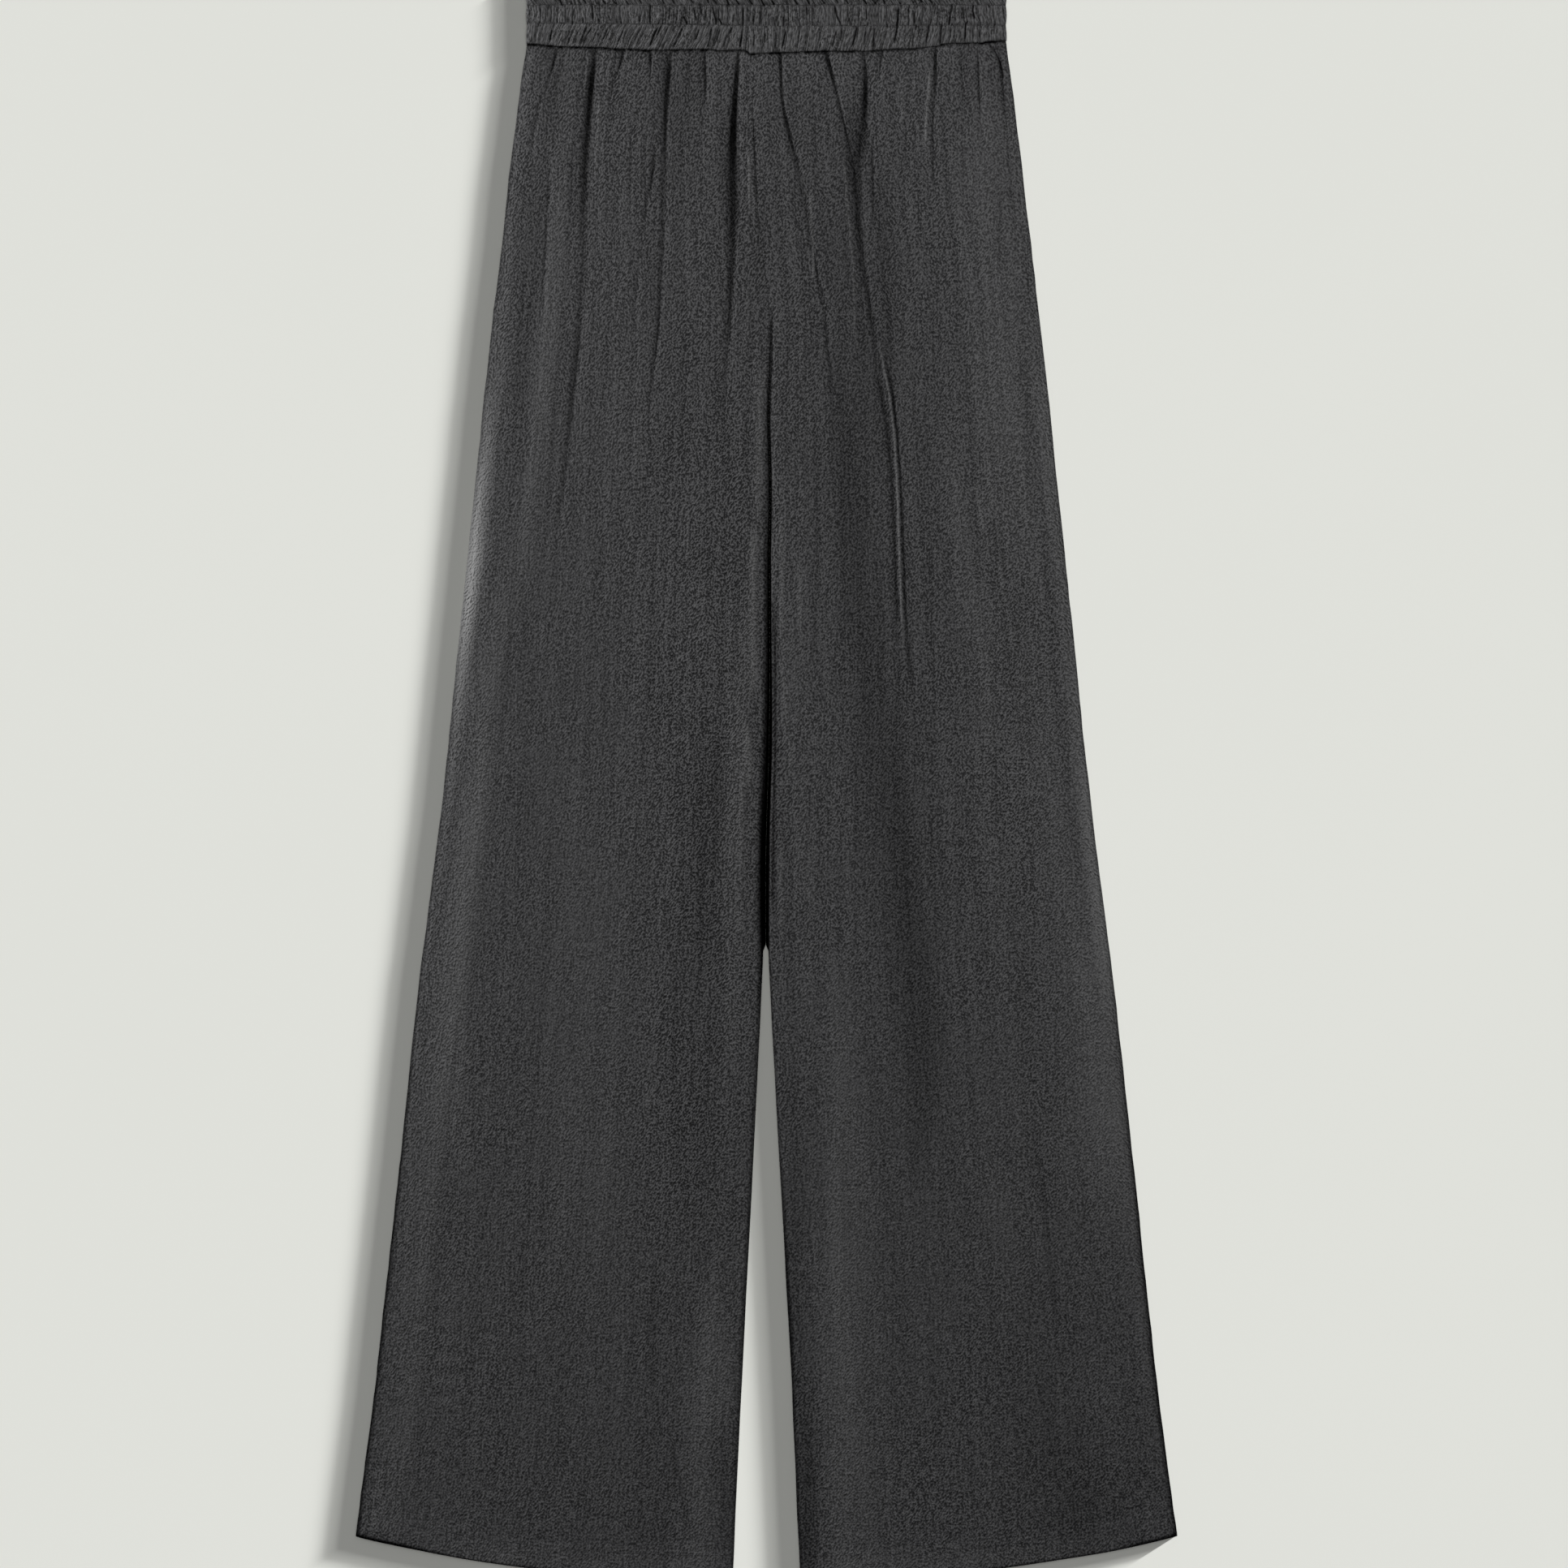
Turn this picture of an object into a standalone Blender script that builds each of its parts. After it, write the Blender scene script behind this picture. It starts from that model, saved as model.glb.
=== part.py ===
"""Palazzo pants of crinkled cloth, laid flat with the front up.

Two layers lie on each other: the back panels flat on the surface, and the front panels over them,
gathered into a shirred waistband. Metres, +Z up. X runs across the garment with the wearer's left
at +X, +Y points at the waist, and the origin lies under the middle of the garment.

Depth is the distance below the line of the waist seam, towards -Y. The short tables are in
millimetres, and a row holds one section or one fold.
"""
import math

import bmesh
import bpy
import numpy as np

MM = 0.001

# Cut of the garment.
LEG_LENGTH = 1036.5 * MM         # waist seam line to the lowest point of the hem, at the inseams
HEM_RISE = 28.5 * MM             # the hem is this much higher at the side seams
HEM_CURVE = 2.2                  # how late the hem turns up towards the side seam
WAIST_SEAM_SAG = 2.2 * MM        # the waist seam lies this low at the middle
WAIST_SEAM_RISE = 5.0 * MM       # and is this much higher at the sides
SLIT_TOP = 606 * MM              # above this depth the back panels close the slit between the legs
SLIT_EASE = 8 * MM               # the back panels open to the inseams over this depth
BAND_HEIGHT = 52.5 * MM
BAND_HALF_WIDTH = 162 * MM
BAND_CORNER = 3 * MM             # the band's upper corners are rounded off by this much

# Thickness and lie.
SEAM_GAP = 0.3 * MM              # kept between neighbouring pieces
CLOTH = 1.2 * MM                 # one layer of a leg panel
HEM_EXTRA = 0.6 * MM             # the turned hem is thicker by this much
HEM_WIDTH = 18 * MM
HEM_STEP = 2 * MM                # the hem's inner edge climbs over this depth
BAND_BACK = 2.0 * MM             # cloth and elastic of the band's back half
BAND_FRONT = 1.6 * MM            # the same of its front half, between two puffs
SIDE_ROLL = 15 * MM              # the front rounds down to the side seam over this width
INSEAM_ROLL = 11 * MM            # and down to the inseam over this one
VALLEY_START = 215 * MM          # the fronts start to dip towards each other at this depth
CROTCH_DEPTH = 253 * MM          # and reach the back at the crotch
LEAST_LOFT = 0.12                # the deepest fold leaves this share of the loft
SOFT_FLOOR = 0.3 * MM            # and flattens out over this height
SEAM_GRIP = 9 * MM               # the waist seam holds the folds down over this depth
STEEPEST = 1.5                   # slope up to which the wall is thickened to keep its gauge

# Mesh of the panels.
COLUMNS = 34
ROWS = 27
FIRST_ROW_SHARE = 0.2            # rows lie closer together towards the waist
EDGE_ROWS = 24                   # points down a long side of a back panel
EDGE_COLUMNS = 12                # points across its hem and its waist

# Shirring of the waistband.
GATHERS = 46                     # across the front
POINTS_PER_GATHER = 4
STEPS_PER_TIER = 3               # rows of points from one row of stitches to the next
PUFF = 2.5 * MM                  # height of a puff over the stitches
PUFF_VALLEY = 0.25               # part of that height left between two gathers
BAND_SIDE_ROLL = 6 * MM          # the puffs die out towards the side seams over this width

TIERS = (
    # bottom (height over the seam), lean of the gathers towards +X from bottom to top
    (0.0, 2.6),
    (16.5, 0.6),
    (29.0, -1.2),
    (43.0, 0.0),
)

SIDE_SEAM = (
    # below_seam, half_width
    (-6.0, 162.0),
    (0.0, 162.5),
    (22.0, 166.1),
    (55.0, 170.0),
    (77.0, 173.0),
    (132.0, 179.0),
    (187.0, 185.6),
    (242.0, 191.7),
    (352.0, 203.0),
    (517.0, 220.3),
    (627.0, 234.6),
    (792.0, 252.7),
    (902.0, 264.3),
    (1008.0, 278.3),
    (1040.0, 282.5),
)

CENTRE = (
    # below_seam, line (of the front seam, then of the slit), half_gap
    (-6.0, -8.0, 0.15),
    (50.0, -9.5, 0.15),
    (110.0, -11.5, 0.15),
    (185.0, -12.0, 0.15),
    (205.0, -10.5, 0.15),
    (222.0, -6.5, 0.15),
    (237.0, -1.5, 0.15),
    (253.0, 1.5, 0.15),
    (352.0, 1.0, 1.0),
    (480.0, 0.5, 1.6),
    (560.0, -1.3, 1.8),
    (612.0, -0.5, 1.9),
    (682.0, -0.3, 5.2),
    (792.0, 0.0, 11.0),
    (902.0, 0.2, 16.8),
    (1007.0, 0.0, 21.5),
    (1040.0, 0.0, 23.0),
)

LOFT = (
    # below_seam, loft (how far the front stands off the back)
    (-6.0, 0.9),
    (1.0, 1.2),
    (9.0, 3.4),
    (28.0, 4.8),
    (70.0, 4.7),
    (130.0, 3.9),
    (220.0, 3.1),
    (340.0, 2.5),
    (520.0, 2.1),
    (820.0, 1.7),
    (1040.0, 1.2),
)

FOLDS = (
    # start, end, x_start, x_end, bow, half_width, height, fade_in (share of the length)
    # Gathers of the wearer's right front, from the side seam inwards.
    (-8, 95, -142.0, -161.0, 0.0, 4.6, -1.9, 0.04),
    (-8, 150, -131.0, -143.0, 0.0, 6.0, 1.5, 0.04),
    (-10, 345, -116.3, -142.0, 2.5, 4.8, -4.9, 0.02),
    (60, 330, -136.0, -152.0, 3.0, 7.0, 1.4, 0.30),
    (-8, 260, -108.0, -120.0, 0.0, 5.0, 1.3, 0.04),
    (-8, 115, -97.0, -115.0, -1.0, 4.8, -2.1, 0.05),
    (20, 140, -91.5, -92.5, 0.0, 6.0, -1.1, 0.30),
    (-8, 45, -78.3, -79.0, 0.0, 4.3, -1.8, 0.06),
    (40, 210, -73.5, -91.0, 0.0, 6.0, -1.2, 0.30),
    (-10, 265, -66.3, -80.5, 2.0, 4.2, -4.0, 0.03),
    (-8, 230, -56.0, -66.0, 0.0, 6.0, 1.4, 0.04),
    (-6, 48, -43.0, -42.0, 0.0, 4.2, -3.0, 0.06),
    (-8, 230, -32.0, -38.0, 0.0, 6.0, 1.2, 0.04),
    (-10, 290, -19.5, -28.0, -1.0, 4.3, -4.2, 0.03),
    # Gathers of the wearer's left front, from the centre outwards.
    (-10, 130, 8.4, 28.0, -3.0, 4.2, -3.6, 0.05),
    (90, 260, 25.5, 28.0, 1.0, 5.5, -1.4, 0.30),
    (-8, 190, 24.0, 42.0, 4.0, 6.0, 1.3, 0.04),
    (-8, 112, 39.5, 61.0, 1.5, 4.2, -3.2, 0.05),
    (-10, 105, 66.0, 60.0, 4.0, 4.4, -4.6, 0.05),
    (72, 335, 58.5, 84.0, -2.0, 4.8, -3.9, 0.10),
    (60, 160, 73.5, 71.0, 0.0, 5.0, -1.3, 0.30),
    (-8, 30, 77.5, 76.0, 0.0, 4.2, -1.8, 0.08),
    (-8, 170, 88.0, 90.0, 0.0, 6.5, 1.4, 0.04),
    (-8, 120, 98.0, 92.0, 0.0, 5.0, -1.4, 0.06),
    (-8, 85, 109.5, 107.5, 0.0, 4.2, 1.7, 0.08),
    (-10, 75, 114.0, 112.5, 0.0, 4.2, -3.4, 0.05),
    (-8, 100, 134.0, 139.0, 0.0, 5.0, -1.2, 0.08),
    (-8, 190, 146.0, 164.0, 0.0, 5.0, -1.3, 0.05),
    # The hollow where the thighs press together above the crotch.
    (178, 330, 2.6, 1.2, 0.0, 4.0, -3.6, 0.25),
    # Long soft swells and hollows further down, right and left.
    (230, 720, -27.0, -18.0, 6.0, 13.0, 1.1, 0.45),
    (420, 940, -42.0, -48.0, 2.0, 15.0, -1.1, 0.45),
    (740, 1030, -74.0, -84.0, 0.0, 18.0, -1.1, 0.50),
    (520, 1020, -128.0, -150.0, 0.0, 24.0, 1.0, 0.50),
    (300, 760, -166.0, -196.0, 0.0, 15.0, -1.0, 0.40),
    (250, 860, 70.0, 114.0, 0.0, 15.0, -1.4, 0.45),
    (330, 700, 90.0, 122.0, 0.0, 9.0, 0.9, 0.25),
    (620, 1030, 48.0, 46.0, 0.0, 17.0, 1.1, 0.50),
    (660, 1030, 168.0, 190.0, 0.0, 26.0, 1.0, 0.50),
    (380, 820, 168.0, 176.0, 6.0, 18.0, -0.9, 0.50),
    (930, 1000, 205.0, 264.0, 0.0, 12.0, 0.8, 0.50),
)

CHARCOAL = (0.045, 0.045, 0.046, 1.0)
CHARCOAL_BAND = (0.050, 0.050, 0.051, 1.0)
CLOTH_ROUGHNESS = 0.92
SHARP_EDGE = math.radians(50)


def column(table, depth, index):
    """One column of a table in millimetres, read at a depth in metres."""
    rows = np.array(table)
    return np.interp(depth, rows[:, 0] * MM, rows[:, index] * MM)


def side_edge(depth, side):
    """X of the side seam of the wearer's right (-1) or left (+1)."""
    return side * column(SIDE_SEAM, depth, 1)


def front_inner_edge(depth, side):
    """X of a front's centre seam and, below the crotch, of its inseam."""
    return column(CENTRE, depth, 1) + side * column(CENTRE, depth, 2)


def back_inner_edge(depth, side):
    """X of a back's inner edge: it meets the other back down to the top of the open slit."""
    opened = np.clip((depth - SLIT_TOP) / SLIT_EASE, 0.0, 1.0)
    half_gap = SEAM_GAP / 2 + (column(CENTRE, depth, 2) - SEAM_GAP / 2) * opened
    return column(CENTRE, depth, 1) + side * half_gap


def waist_seam(x):
    """Depth of the waist seam at x: a shallow arc, lowest at the middle."""
    return WAIST_SEAM_SAG - WAIST_SEAM_RISE * (x / BAND_HALF_WIDTH) ** 2


def hem(across):
    """Depth of the hem; across is 0 at the inseam and 1 at the side seam."""
    return LEG_LENGTH - HEM_RISE * across ** HEM_CURVE


def smooth(value):
    """A smooth step from 0 to 1."""
    t = np.clip(value, 0.0, 1.0)
    return t * t * (3.0 - 2.0 * t)


def rounded(distance, radius):
    """A quarter of an ellipse: 0 on the edge and 1 from the radius inwards."""
    t = np.clip(distance / radius, 0.0, 1.0)
    return np.sqrt(1.0 - (1.0 - t) ** 2)


def fold_height(x, depth):
    """Sum of all folds: each is a bent line whose cross-section is a bell and whose ends fade."""
    total = np.zeros_like(x)
    for start, end, x_start, x_end, bow, half_width, height, fade_in in FOLDS:
        along = np.clip((depth / MM - start) / (end - start), 0.0, 1.0)
        line = x_start + (x_end - x_start) * along + 4.0 * bow * along * (1.0 - along)
        strength = smooth(along / fade_in) * smooth((1.0 - along) / (1.0 - fade_in))
        total += height * strength * np.exp(-((x / MM - line) / half_width) ** 2)
    return total * MM


def front_underside(x, depth):
    """Height of the front's lower face: loft and folds, rounded down to the side and inner seams."""
    to_side = column(SIDE_SEAM, depth, 1) - np.abs(x)
    to_inseam = np.abs(x - column(CENTRE, depth, 1)) - column(CENTRE, depth, 2)
    dip = smooth((depth - VALLEY_START) / (CROTCH_DEPTH - VALLEY_START))
    edge = rounded(to_side, SIDE_ROLL) * (1.0 - dip * (1.0 - rounded(to_inseam, INSEAM_ROLL)))
    free = smooth((depth + SEAM_GRIP / 2) / SEAM_GRIP)
    loft = column(LOFT, depth, 1) * edge
    above = loft * (1.0 - LEAST_LOFT) + fold_height(x, depth) * edge * free
    above = (above + np.sqrt(above ** 2 + SOFT_FLOOR ** 2) - SOFT_FLOOR) / 2
    seat = (BAND_BACK - CLOTH) * (1.0 - smooth(depth / SEAM_GRIP))
    return CLOTH + SEAM_GAP + loft * LEAST_LOFT + above + seat


def panel_grid(side, inner_edge, rows, columns):
    """Points of a leg panel as arrays of x and depth, one row from inner edge to side seam."""
    down, across = np.meshgrid(rows, np.linspace(0.0, 1.0, columns + 1), indexing="ij")
    at_waist = inner_edge(0.0, side) + across * (side_edge(0.0, side) - inner_edge(0.0, side))
    top = waist_seam(at_waist)
    depth = top + (hem(across) - top) * down
    inner = inner_edge(depth, side)
    x = inner + across * (side_edge(depth, side) - inner)
    return x, depth


def front_rows():
    """Shares of the length at which a front has its rows, close at the waist, with the hem's step."""
    even = np.linspace(0.0, 1.0, ROWS)
    rows = FIRST_ROW_SHARE * even + (1.0 - FIRST_ROW_SHARE) * even ** 2
    hem_top = 1.0 - HEM_WIDTH / LEG_LENGTH
    step = HEM_STEP / LEG_LENGTH
    kept = rows[rows < hem_top - 2 * step]
    return np.concatenate([kept, [hem_top - step, hem_top, 1.0]])


def points(x, depth, height):
    """World points of x, depth and height arrays; the waist seam line sets where depth starts."""
    seam_y = (LEG_LENGTH - BAND_HEIGHT) / 2
    return np.stack([x, seam_y - depth, np.broadcast_to(height, x.shape)], axis=-1)


def cloth_material(name, colour):
    """Matt woven cloth."""
    material = bpy.data.materials.new(name)
    material.use_nodes = True
    shader = material.node_tree.nodes["Principled BSDF"]
    shader.inputs["Base Color"].default_value = colour
    shader.inputs["Roughness"].default_value = CLOTH_ROUGHNESS
    shader.inputs["Metallic"].default_value = 0.0
    return material


def add_object(name, vertices, faces, colour):
    """A closed mesh with its faces turned outwards."""
    mesh = bpy.data.meshes.new(name)
    mesh.from_pydata([tuple(vertex) for vertex in vertices], [], faces)
    work = bmesh.new()
    work.from_mesh(mesh)
    bmesh.ops.recalc_face_normals(work, faces=work.faces)
    work.to_mesh(mesh)
    work.free()
    mesh.shade_smooth()
    mesh.set_sharp_from_angle(angle=SHARP_EDGE)
    mesh.materials.append(cloth_material(name + "_cloth", colour))
    piece = bpy.data.objects.new(name, mesh)
    bpy.context.scene.collection.objects.link(piece)
    return piece


def rim(rows, columns):
    """Indices of a grid's border, once round."""
    grid = np.arange(rows * columns).reshape(rows, columns)
    return np.concatenate([grid[0, :-1], grid[:-1, -1], grid[-1, :0:-1], grid[:0:-1, 0]])


def grid_faces(rows, columns, first=0):
    """Four-sided faces of a grid of points."""
    grid = first + np.arange(rows * columns).reshape(rows, columns)
    corners = (grid[:-1, :-1], grid[1:, :-1], grid[1:, 1:], grid[:-1, 1:])
    return np.stack(corners, axis=-1).reshape(-1, 4).tolist()


def add_wall(name, over, under, colour):
    """A cloth wall between two grids of points that share their x and y."""
    rows, columns = over.shape[:2]
    count = rows * columns
    border = rim(rows, columns)
    after = np.roll(border, -1)
    sides = np.stack([border, after, after + count, border + count], axis=-1).tolist()
    faces = grid_faces(rows, columns) + grid_faces(rows, columns, count) + sides
    vertices = np.concatenate([over.reshape(-1, 3), under.reshape(-1, 3)])
    return add_object(name, vertices, faces, colour)


def add_plain_base(name, over, base_height, colour):
    """A raised grid of points over one flat lower face."""
    rows, columns = over.shape[:2]
    count = rows * columns
    border = rim(rows, columns)
    base = over.reshape(-1, 3)[border].copy()
    base[:, 2] = base_height
    lower = count + np.arange(len(border))
    sides = np.stack([border, np.roll(border, -1), np.roll(lower, -1), lower], axis=-1).tolist()
    faces = grid_faces(rows, columns) + [lower.tolist()] + sides
    return add_object(name, np.concatenate([over.reshape(-1, 3), base]), faces, colour)


def add_slab(name, outline, bottom, top, colour):
    """A flat layer: one outline, given a thickness."""
    count = len(outline)
    lower = np.column_stack([outline, np.full(count, bottom)])
    upper = np.column_stack([outline, np.full(count, top)])
    ring = np.arange(count)
    after = np.roll(ring, -1)
    sides = np.stack([ring, after, after + count, ring + count], axis=-1).tolist()
    faces = [ring.tolist(), (ring + count).tolist()] + sides
    return add_object(name, np.concatenate([lower, upper]), faces, colour)


def add_front_leg(name, side):
    """A front: a thin wall that follows the gathers, thicker along its turned hem."""
    rows = front_rows()
    x, depth = panel_grid(side, front_inner_edge, rows, COLUMNS)
    height = front_underside(x, depth)
    slope = np.gradient(height, axis=1) / np.gradient(x, axis=1)
    gauge = CLOTH * np.sqrt(1.0 + np.clip(slope, -STEEPEST, STEEPEST) ** 2)
    gauge[rows > 1.0 - (HEM_WIDTH + HEM_STEP / 2) / LEG_LENGTH] += HEM_EXTRA
    over = points(x, depth, height + gauge)
    return add_wall(name, over, points(x, depth, height), CHARCOAL)


def add_back_leg(name, side):
    """A back: one flat layer on the surface, cut like the front but closed between the thighs."""
    rows = np.unique(np.concatenate([
        np.linspace(0.0, 1.0, EDGE_ROWS),
        np.array([SLIT_TOP, SLIT_TOP + SLIT_EASE]) / LEG_LENGTH,
    ]))
    x, depth = panel_grid(side, back_inner_edge, rows, EDGE_COLUMNS)
    border = rim(len(rows), EDGE_COLUMNS + 1)
    outline = points(x, depth, 0.0).reshape(-1, 3)[border, :2]
    return add_slab(name, outline, 0.0, CLOTH, CHARCOAL)


def band_half_width(height):
    """Half the waistband's width at a height over the seam, rounded at its upper corners."""
    from_top = BAND_HEIGHT - height
    return BAND_HALF_WIDTH - BAND_CORNER * (1.0 - rounded(from_top, BAND_CORNER))


def band_grid(heights, across):
    """X and height of the band's points; its lower edge follows the waist seam."""
    x = band_half_width(heights)[:, None] * across[None, :]
    lower_edge = SEAM_GAP - waist_seam(x)
    share = (heights / BAND_HEIGHT)[:, None]
    return x, lower_edge + (BAND_HEIGHT - lower_edge) * share


def add_waistband_front(name):
    """The shirred front half: tiers of small puffs, each tier's gathers leaning its own way."""
    bottoms = np.array([bottom for bottom, lean in TIERS] + [BAND_HEIGHT / MM])
    steps = np.arange(len(TIERS) * STEPS_PER_TIER + 1) / STEPS_PER_TIER
    heights = np.interp(steps, np.arange(len(bottoms)), bottoms) * MM
    within = steps % 1.0
    tier = np.minimum(steps.astype(int), len(TIERS) - 1)
    lean = np.array([lean for bottom, lean in TIERS])[tier] * MM * (within - 0.5)

    x, height = band_grid(heights, np.linspace(-1.0, 1.0, GATHERS * POINTS_PER_GATHER + 1))
    pitch = 2 * BAND_HALF_WIDTH / GATHERS
    wave = 0.5 - 0.5 * np.cos(2 * np.pi * (x + BAND_HALF_WIDTH - lean[:, None]) / pitch)
    puff = PUFF * np.sin(np.pi * within)[:, None] * (PUFF_VALLEY + (1.0 - PUFF_VALLEY) * wave)
    to_side = band_half_width(heights)[:, None] - np.abs(x)
    base = BAND_BACK + SEAM_GAP
    top = base + BAND_FRONT + puff * rounded(to_side, BAND_SIDE_ROLL)
    return add_plain_base(name, points(x, -height, top), base, CHARCOAL_BAND)


def add_waistband_back(name):
    """The back half of the band, flat on the surface."""
    heights = np.append(0.0, np.linspace(BAND_HEIGHT - BAND_CORNER, BAND_HEIGHT, 4))
    x, height = band_grid(heights, np.linspace(-1.0, 1.0, 2 * EDGE_COLUMNS + 1))
    outline = points(x, -height, 0.0).reshape(-1, 3)[rim(*x.shape), :2]
    return add_slab(name, outline, 0.0, BAND_BACK, CHARCOAL_BAND)


def main():
    for old in list(bpy.data.objects):
        bpy.data.objects.remove(old, do_unlink=True)
    add_back_leg("back_leg_right", -1)
    add_back_leg("back_leg_left", 1)
    add_waistband_back("waistband_back")
    add_front_leg("front_leg_right", -1)
    add_front_leg("front_leg_left", 1)
    add_waistband_front("waistband_front")


main()
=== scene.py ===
"""Palazzo pants of charcoal crinkled gauze, laid flat with the front up.

Each piece of cloth is a thin closed shell on the form of its solid: two fronts over two backs, gathered
into a waistband shirred on rows of elastic thread. Metres, +Z up, the wearer's left at +X and the waist at
+Y. Depth is the distance below the line of the waist seam, towards -Y. A side is -1 for the wearer's right
and 1 for the left. Tables are in millimetres, and below_seam in them is the depth.
"""
import math

import bpy
import numpy as np
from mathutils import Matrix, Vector


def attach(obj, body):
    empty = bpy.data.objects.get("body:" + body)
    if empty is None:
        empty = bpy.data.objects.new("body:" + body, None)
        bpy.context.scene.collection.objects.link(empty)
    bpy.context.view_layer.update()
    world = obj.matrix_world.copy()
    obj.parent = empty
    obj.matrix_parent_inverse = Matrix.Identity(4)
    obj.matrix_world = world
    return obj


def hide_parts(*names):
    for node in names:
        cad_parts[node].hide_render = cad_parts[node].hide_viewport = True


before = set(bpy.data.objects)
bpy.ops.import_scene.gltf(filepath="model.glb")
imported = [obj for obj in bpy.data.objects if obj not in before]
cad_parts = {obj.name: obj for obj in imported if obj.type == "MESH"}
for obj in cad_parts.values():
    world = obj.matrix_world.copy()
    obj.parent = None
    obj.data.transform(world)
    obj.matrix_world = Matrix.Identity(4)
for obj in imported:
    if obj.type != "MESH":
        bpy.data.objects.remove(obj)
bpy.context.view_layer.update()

MM = 0.001

# Cut of the garment, as in the solids.
LEG_LENGTH = 1036.5 * MM
HEM_RISE = 28.5 * MM
HEM_CURVE = 2.2
HEM_WIDTH = 18 * MM
WAIST_SEAM_SAG = 2.2 * MM
WAIST_SEAM_RISE = 5.0 * MM
SLIT_TOP = 606 * MM
SLIT_EASE = 8 * MM
VALLEY_START = 215 * MM          # above the crotch, where the fronts begin to dip to the inseams
CROTCH_DEPTH = 253 * MM
BAND_HEIGHT = 52.5 * MM
BAND_HALF_WIDTH = 162 * MM
BAND_CORNER = 3 * MM
SEAM_Y = (LEG_LENGTH - BAND_HEIGHT) / 2

# Layers, from the ground up.
BACK_TOP = 1.0 * MM
BACK_GAP = 0.06 * MM             # half of what lies between the backs above the slit
LOWEST = 0.25 * MM               # a front's lower face stays above this
FRONT_BASE = 1.5 * MM            # the solids' fronts start here
CLOTH = 1.2 * MM                 # and are this thick
SHELL = 0.7 * MM                 # one layer of gauze as it shows at a cut edge
BAND_BACK_TOP = 1.1 * MM         # the band's back is pulled as flat as the cloth below it
BAND_BASE = 2.3 * MM
SEAT = 0.8 * MM                  # the fronts climb by this much onto the band's elastic
SEAM_GRIP = 9 * MM
SOFT_FLOOR = 0.3 * MM            # roundness of the bottom of a trench that meets the back

# Edges.
SIDE_ROLL = 16 * MM
INSEAM_ROLL = 11 * MM
EDGE_ROLL = 3.2 * MM             # the last stretch, rolled under to the side seam
EDGE_DROP = 1.75 * MM
HEM_EXTRA = 0.6 * MM             # the turned hem is this much thicker
HEM_STITCH_IN = 2.0 * MM         # its row of stitches lies this far below its upper edge

# Relief of the fronts.
CROWN, CROWN_REACH = 0.74, 60 * MM    # share of the loft at the side seam, and where it is full
LEAST_LOFT = 0.12                # share of the loft that no trench cuts into
BANK_SHARE = 0.28                # share of a trench's drop that is left to its sloping banks
LEFT_BANK, RIGHT_BANK = 3.4, 1.7 # their widths, in half widths of the trench
CREASE_END = 0.15                # share of a pressed line's length where it fades, and of its height left there
SEAM_CREPE = 0.35                # share of the crinkle that the waist seam leaves
FAN_WIDTH = 225                  # width that a leg's crinkle is drawn at, before it spreads with the flare

# Threads: a stitch is a bent capsule. Along it, shares of its length and how proud of the cloth it is.
THREAD_RADIUS = 0.24 * MM
STITCH_SHARES = (0.0, 0.08, 0.34, 0.66, 0.92, 1.0)
STITCH_PROUD = (-0.25, -0.12, 0.10, 0.10, -0.12, -0.25)
STITCH_SIDES = 6

# Side seam: below_seam, half_width.
SIDE_SEAM = (
    (-6, 162), (0, 162.5), (22, 166.1), (55, 170), (77, 173), (132, 179), (187, 185.6), (242, 191.7),
    (352, 203), (517, 220.3), (627, 234.6), (792, 252.7), (902, 264.3), (1008, 278.3), (1040, 282.5),
)

# Centre: below_seam, line (of the front seam, then of the slit), half_gap.
CENTRE = (
    (-6, -8, 0.06), (40, -9.3, 0.06), (90, -8, 0.06), (140, -2.4, 0.06), (178, 2.4, 0.06), (205, 2.7, 0.06),
    (228, 1.8, 0.1), (253, 1.5, 0.25), (286, 2.5, 0.5), (306, 2.6, 0.7), (326, 2.3, 0.8), (346, 1.8, 0.9),
    (366, 2, 0.9), (396, 2.1, 0.9), (424, 2.2, 1.2), (451, 2.1, 1.6), (479, 1.6, 2), (506, 0.7, 2),
    (534, -0.2, 2.2), (561, -0.6, 2.3), (590, -0.6, 2.2), (614, -0.4, 1.75), (682, -0.3, 5.2), (792, 0, 11),
    (902, 0.2, 16.8), (1007, 0, 21.5), (1040, 0, 23),
)

# Loft: below_seam, how far the front stands off the back.
LOFT = (
    (-6, 0.9), (1, 1.2), (9, 3.6), (28, 5), (70, 4.8), (130, 4), (220, 3.2), (340, 2.6), (520, 2.2),
    (820, 1.8), (1040, 1.3),
)

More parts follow.
